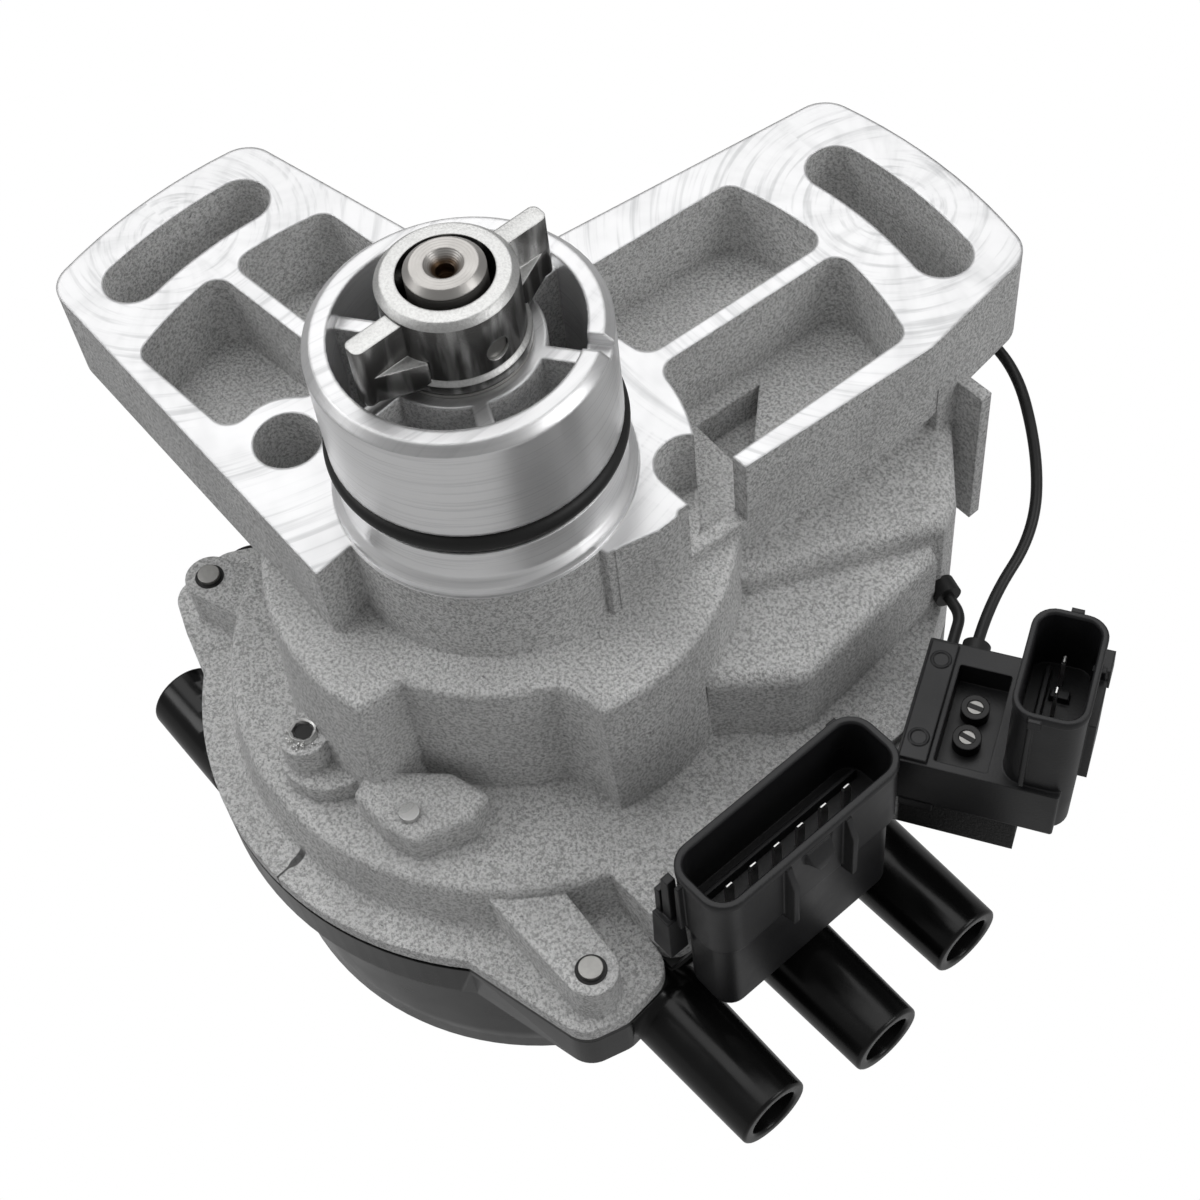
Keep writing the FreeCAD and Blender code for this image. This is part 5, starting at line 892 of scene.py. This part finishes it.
@dataclass
class ThreePinConnector:
    """Three-pin connector with the block that carries it, drawn in the block's own frame."""

    angle_degrees: float = 30.5
    block_near_mm: float = 70.6
    block_far_mm: float = 97.0
    block_back_mm: float = -11.2
    block_front_mm: float = 13.0
    top_mm: float = -36.0
    bottom_mm: float = -48.0
    recess_low_mm: Flat = (76.5, -7.3)
    recess_high_mm: Flat = (85.2, 11.5)
    recess_depth_mm: float = 5.0
    shell_low_mm: Flat = (87.2, -8.2)
    shell_high_mm: Flat = (98.8, 12.0)
    rim_mm: float = -15.0
    floor_mm: float = -29.0
    wall_mm: float = 0.95
    corner_mm: float = 3.6
    screw_n_mm: float = 80.5
    screw_t_mm: float = 1.35
    screw_pitch_mm: float = 5.9
    head_top_mm: float = -38.8
    pin_n_mm: float = 93.0
    pin_t_mm: float = 2.0
    pin_pitch_mm: float = 5.95
    pin_tip_mm: float = -22.0

    def frame_matrix(self) -> Matrix:
        """Matrix from outward, along and level to the row frame."""
        turn = math.radians(self.angle_degrees)
        return Matrix(((math.cos(turn), math.sin(turn), 0, 0), (math.sin(turn), -math.cos(turn), 0, 0),
                       (0, 0, 1, 0), (0, 0, 0, 1)))

    def draw_block(self, shape: Shape) -> None:
        """Block with its recess, its strip and the foot."""
        outer = rounded_box((self.block_near_mm, self.block_back_mm),
                            (self.block_far_mm, self.block_front_mm), 0.5)
        inner = rounded_box(self.recess_low_mm, self.recess_high_mm, 0.4)
        deep = self.top_mm - self.recess_depth_mm
        shape.loft([(outer, self.bottom_mm), (outer, self.top_mm), (inner, self.top_mm), (inner, deep)])
        shape.box((71.0, -10.6, self.top_mm - 0.5), (75.6, 12.6, self.top_mm + 0.7), 0.1)
        shape.box((71.6, 10.9, self.bottom_mm - 2.2), (77.2, 13.0, self.bottom_mm + 0.5))

    def draw_marks(self, shape: Shape) -> None:
        """Two plain rings that the mould left on the strip."""
        for along in (-6.9, 8.4):
            shape.ring(73.3, along, 1.35, 1.65, self.top_mm + 0.4, self.top_mm + 0.85)

    def draw_latch(self, shape: Shape) -> None:
        """Plates on the far side, and the ribs and tabs of the ends."""
        far = self.shell_high_mm[0]
        shape.box((far - 0.3, -8.0, self.rim_mm - 12.0), (far + 1.7, -3.6, self.rim_mm - 7.6), 0.15)
        shape.box((far - 0.3, -2.8, self.rim_mm - 24.0), (far + 1.5, 6.2, self.rim_mm - 8.6), 0.15)
        shape.box((far - 1.4, -3.9, self.rim_mm - 9.6), (far + 1.0, -2.6, self.rim_mm - 6.6), 0.1)
        for n, low, high in ((91.2, 11.8, 13.0), (93.4, -9.3, -8.0)):
            shape.box((n - 1.1, low, self.rim_mm - 2.2), (n + 1.1, high, self.rim_mm - 0.3), 0.1)
            shape.box((n - 0.9, low, self.top_mm + 1.0), (n - 0.1, high - 0.1, self.rim_mm - 1.8), 0.05)

    def draw_guide(self, shape: Shape) -> None:
        """Rails on the cavity's floor beside the pins."""
        under = self.floor_mm - 0.2
        shape.box((90.3, -5.6, under), (91.3, 9.6, self.floor_mm + 2.0), 0.1)
        for along in (-0.95, 5.0):
            shape.box((91.9, along - 0.9, under), (95.0, along + 0.9, self.floor_mm + 1.4), 0.1)

    def build(self, finishes: "Finishes", repeat: RepeatTree) -> None:
        """Make the block's moulding, what shows round its screws, and the pins."""
        shape = Shape(self.frame_matrix())
        self.draw_block(shape)
        socket = Socket(shape, self.shell_low_mm, self.shell_high_mm, self.corner_mm, self.wall_mm)
        socket.draw(self.rim_mm, self.floor_mm, [(0.1, self.bottom_mm + 0.2), (0.0, self.top_mm)])
        self.draw_marks(shape)
        self.draw_latch(shape)
        self.draw_guide(shape)
        made = shape.piece("three_pin_shell", finishes.satin, "housing")
        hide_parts("three_pin_connector")
        self.add_screw_rings(finishes, repeat)
        self.add_pins(finishes, repeat)
        log.info("built the three-pin connector")

    def add_screw_rings(self, finishes: "Finishes", repeat: RepeatTree) -> None:
        """Add the dark ring and the slot on each of the block's screws, both painted shade: the ring stands
        for the shaded hole round the screw, the black slot for the shade in its slot.
        """
        places = []
        for side in (-0.5, 0.5):
            along = self.screw_t_mm + side * self.screw_pitch_mm
            places.append(tuple(self.frame_matrix() @ Vector((self.screw_n_mm, along, self.head_top_mm))))
        # Painted shade: a black ring stands for the shaded hole round each screw.
        hole_shade_ring = Shape()
        hole_shade_ring.ring(0, 0, 1.3, 2.4, -2.4, 0.12)
        repeat.spread("screw_collars", hole_shade_ring, places, finishes.gloss, "housing", Slot.BLACK)
        # Painted shade: a black bar stands for the shade in each screw's slot.
        slot = Shape()
        slot.box((-1.6, -0.45, -0.5), (1.6, 0.45, 0.05))
        repeat.spread("screw_slots", slot, places, finishes.rubber, "housing", Slot.BLACK, 0.5, 7)

    def add_pins(self, finishes: "Finishes", repeat: RepeatTree) -> None:
        """Add the three pins' blades."""
        places = []
        for lane in (-1, 0, 1):
            along = self.pin_t_mm + lane * self.pin_pitch_mm
            places.append(tuple(self.frame_matrix() @ Vector((self.pin_n_mm, along, self.pin_tip_mm))))
        blade = pin_blade(Matrix.Rotation(math.radians(self.angle_degrees), 4, "Z"))
        blades = repeat.spread("three_pin_blades", blade, places, finishes.bright, "housing", Slot.BRIGHT)
        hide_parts("three_pin_terminals")


@dataclass
class LugScrewEnds:
    """What shows of the cap screws' ends on the three lugs."""

    places_mm: tuple[Point, ...] = ((57.0, -32.3, -48.0), (-49.0, -33.0, -48.0), (-31.0, 64.5, -48.0))

    def build(self, finishes: "Finishes", repeat: RepeatTree) -> None:
        """Add the shadow gap round each end."""
        gap = Shape()
        gap.ring(0, 0, 1.9, 2.65, -0.5, 0.07)
        repeat.spread("screw_gaps", gap, self.places_mm, finishes.rubber, "housing", Slot.BLACK)


@dataclass
class BrokenVent:
    """Stub of the casting's vent on the shelf: a torn rim round a pit, and torn chips beside it."""

    middle_mm: Flat = (-2.9, -42.6)
    top_mm: float = -36.0
    radius_mm: float = 4.1
    pit_mm: Flat = (-0.3, 0.2)
    pit_radius_mm: float = 2.0
    chips: int = 26
    seed: int = 11

    def build(self, finishes: "Finishes") -> None:
        """Add the pit's lining and the chips, and a black disc of painted shade in the pit."""
        chance = random.Random(self.seed)
        x, y = self.middle_mm[0] + self.pit_mm[0], self.middle_mm[1] + self.pit_mm[1]
        torn = Shape()
        loops = []
        for radius, level in ((self.pit_radius_mm + 0.55, 0.05), (self.pit_radius_mm + 0.2, 0.75),
                              (self.pit_radius_mm - 0.2, 0.6), (self.pit_radius_mm - 0.4, 0.04)):
            outline = [(px + chance.uniform(-0.12, 0.12), py + chance.uniform(-0.12, 0.12))
                       for px, py in round_outline(x, y, radius, 20)]
            loops.append((outline, self.top_mm + level))
        torn.loft(loops, closed=False)
        placed = 0
        while placed < self.chips:
            turn, reach = chance.uniform(0, math.tau), chance.uniform(0, self.radius_mm - 0.9)
            px = self.middle_mm[0] + reach * math.cos(turn)
            py = self.middle_mm[1] + reach * math.sin(turn)
            if math.hypot(px - x, py - y) < self.pit_radius_mm + 0.4:
                continue
            size = chance.uniform(0.25, 0.7)
            corners = [(px + size * math.cos(turn + step * 1.3), py + size * math.sin(turn + step * 1.3))
                       for step in range(4)]
            tip = [(px + 0.3 * (cx - px), py + 0.3 * (cy - py)) for cx, cy in corners]
            torn.loft([(corners, self.top_mm - 0.2), (tip, self.top_mm + chance.uniform(0.2, 0.8))])
            placed += 1
        torn.piece("vent_stub", finishes.bright, "housing")
        # Painted shade: a black disc over the pit's mouth stands for the shade inside it.
        pit = Shape()
        disc = round_outline(x, y, self.pit_radius_mm, 20)
        pit.loft([(disc, self.top_mm - 0.1), (disc, self.top_mm + 0.06)])
        pit.piece("vent_pit", finishes.rubber, "housing")


@dataclass
class RoundedMouldings:
    """Copies of moulded and cast pieces of the frame with their edges rounded."""

    tower_ends_mm: tuple[Point, ...] = ((91.7, 0.0, -68.5), (88.3, 22.2, -68.5), (88.3, -22.2, -68.5),
                                        (-46.0, -47.0, -70.0), (-62.0, -23.0, -70.0), (-66.0, 1.0, -70.0))
    tower_rim_mm: float = 7.5
    ring_radius_mm: float = 7.5
    tower_edge_mm: float = 0.9
    coupling_edge_mm: float = 0.45
    flange_top_mm: float = -62.0
    flange_radius_mm: float = 49.0
    ring_edges: int = 30

    def at_tower_end(self, point: Vector) -> bool:
        """Whether a point lies on the rim of a tower."""
        return any(abs(point.x - end[0]) < 0.05
                   and math.hypot(point.y - end[1], point.z - end[2]) < self.tower_rim_mm
                   for end in self.tower_ends_mm)

    def on_dogs(self, point: Vector) -> bool:
        """Whether a point lies on the outside of the coupling's ring or on a dog."""
        return math.hypot(point.x, point.y) > self.ring_radius_mm

    def crease_flange(self, mesh: bpy.types.Mesh) -> None:
        """Part the flange's wall from the rounding below it, so that the wall shades evenly."""
        ring = []
        for edge in mesh.edges:
            start, end = (mesh.vertices[index].co / MM for index in edge.vertices)
            along, outward = (end - start).normalized(), Vector((start.x, start.y, 0))
            around = abs(along.z) < 0.01 and abs(along.dot(outward.normalized())) < 0.2
            if around and start.z < self.flange_top_mm and outward.length > self.flange_radius_mm:
                ring.append((start.z, edge))
        counts = Counter(round(height, 1) for height, edge in ring)
        level = max(height for height, count in counts.items() if count > self.ring_edges)
        for height, edge in ring:
            if abs(level - height) < 0.1:
                edge.use_edge_sharp = True
        log.info("creased the cap's flange at %.1f mm", level)

    def build(self, finishes: "Finishes") -> None:
        """Make the copies."""
        cap = rounded_copy("distributor_cap", "cap_moulding", finishes.gloss, "housing",
                           self.tower_edge_mm, self.at_tower_end)
        self.crease_flange(cap.data)
        rounded_copy("drive_coupling", "coupling_casting", finishes.coupling, "coupling",
                     self.coupling_edge_mm, self.on_dogs)


# Studio


@dataclass
class Studio:
    """Camera, floor and lamps."""

    camera_mm: Point = (180.15, -104.01, 264.68)
    forward: Point = (-0.46498, 0.31511, -0.82732)
    camera_up: Point = (-0.59860, 0.57659, 0.55604)
    focal_px: float = 2128.9
    picture_px: float = 1200.0
    sensor_mm: float = 36.0
    floor_level_mm: float = -107.0
    floor_reach: float = 3.0
    floor_tone: Tone = (0.4, 0.4, 0.4)
    floor_seen_in_gloss: float = 0.42
    world_light: float = 0.26
    lamps: tuple[tuple[str, Point, float, float], ...] = (
        ("overhead lamp", (-0.4, 0.22, 0.85), 1.2, 6.6), ("left lamp", (-0.5, -0.6, 0.55), 0.4, 1.6),
        ("right lamp", (0.75, 0.45, 0.5), 0.5, 2.5))

    def place_camera(self) -> None:
        """Set the camera where the photograph was taken."""
        data = bpy.data.cameras.new("camera")
        data.sensor_width = self.sensor_mm
        data.lens = self.focal_px / self.picture_px * self.sensor_mm
        data.clip_start = 0.01
        camera = add_object("camera", data)
        forward = Vector(self.forward).normalized()
        up = Vector(self.camera_up).normalized()
        right = forward.cross(up).normalized()
        up = right.cross(forward)
        turn = Matrix((right, up, -forward)).transposed().to_4x4()
        camera.matrix_world = Matrix.Translation(Vector(self.camera_mm) * MM) @ turn
        bpy.context.scene.camera = camera

    def floor_material(self) -> Material:
        """White where the camera or a reflection sees it, and a plain pale floor for light."""
        g = Graph("studio floor")
        path = g.node("ShaderNodeLightPath")
        camera = Value(g, path.outputs["Is Camera Ray"])
        glossy = Value(g, path.outputs["Is Glossy Ray"])
        white = g.node("ShaderNodeEmission", {}, {
            "Color": (1.0, 1.0, 1.0, 1.0), "Strength": camera + glossy * self.floor_seen_in_gloss})
        pale = g.node("ShaderNodeBsdfDiffuse", {}, {"Color": (*self.floor_tone, 1.0)})
        seen = g.math("MAXIMUM", camera, glossy)
        both = g.node("ShaderNodeMixShader", {}, {0: seen, 1: pale.outputs[0], 2: white.outputs[0]})
        g.tree.links.new(both.outputs[0], g.output.inputs["Surface"])
        return g.material

    def build_floor(self) -> None:
        """Large plain floor under the part."""
        mesh = bpy.data.meshes.new("floor")
        reach, level = self.floor_reach, self.floor_level_mm * MM
        corners = [(x * reach, y * reach, level) for x, y in ((-1, -1), (1, -1), (1, 1), (-1, 1))]
        mesh.from_pydata(corners, [], [(0, 1, 2, 3)])
        mesh.materials.append(self.floor_material())
        add_object("floor", mesh)

    def add_lamp(self, name: str, place: Point, size: float, power: float) -> None:
        """Soft square lamp that looks at the part."""
        data = bpy.data.lights.new(name, "AREA")
        data.shape = "SQUARE"
        data.size = size
        data.energy = power
        lamp = add_object(name, data)
        lamp.location = place
        aim = Vector((0.0, 0.02, -0.03)) - Vector(place)
        lamp.rotation_euler = aim.to_track_quat("-Z", "Y").to_euler()

    def light_world(self) -> None:
        """Even grey light from all round, white behind the part."""
        world = bpy.data.worlds.new("studio")
        world.use_nodes = True
        tree = world.node_tree
        tree.nodes.clear()
        path = tree.nodes.new("ShaderNodeLightPath")
        mix = tree.nodes.new("ShaderNodeMixShader")
        out = tree.nodes.new("ShaderNodeOutputWorld")
        tree.links.new(path.outputs["Is Camera Ray"], mix.inputs[0])
        for place, strength in ((1, self.world_light), (2, 1.0)):
            light = tree.nodes.new("ShaderNodeBackground")
            light.inputs["Color"].default_value = (1.0, 1.0, 1.0, 1.0)
            light.inputs["Strength"].default_value = strength
            tree.links.new(light.outputs[0], mix.inputs[place])
        tree.links.new(mix.outputs[0], out.inputs["Surface"])
        bpy.context.scene.world = world

    def build(self) -> None:
        """Set the whole studio."""
        self.place_camera()
        self.build_floor()
        self.light_world()
        for lamp in self.lamps:
            self.add_lamp(*lamp)
        bpy.context.scene.view_settings.view_transform = "Standard"


def main() -> None:
    """Dress the part and set the studio."""
    logging.basicConfig(level=logging.INFO)
    Studio().build()
    finishes = Finishes()
    dress_frame(finishes)
    LongLead().build(finishes)
    repeat = RepeatTree()
    SixPinConnector().build(finishes, repeat)
    ThreePinConnector().build(finishes, repeat)
    LugScrewEnds().build(finishes, repeat)
    BrokenVent().build(finishes)
    RoundedMouldings().build(finishes)


if __name__ == "__main__":
    main()
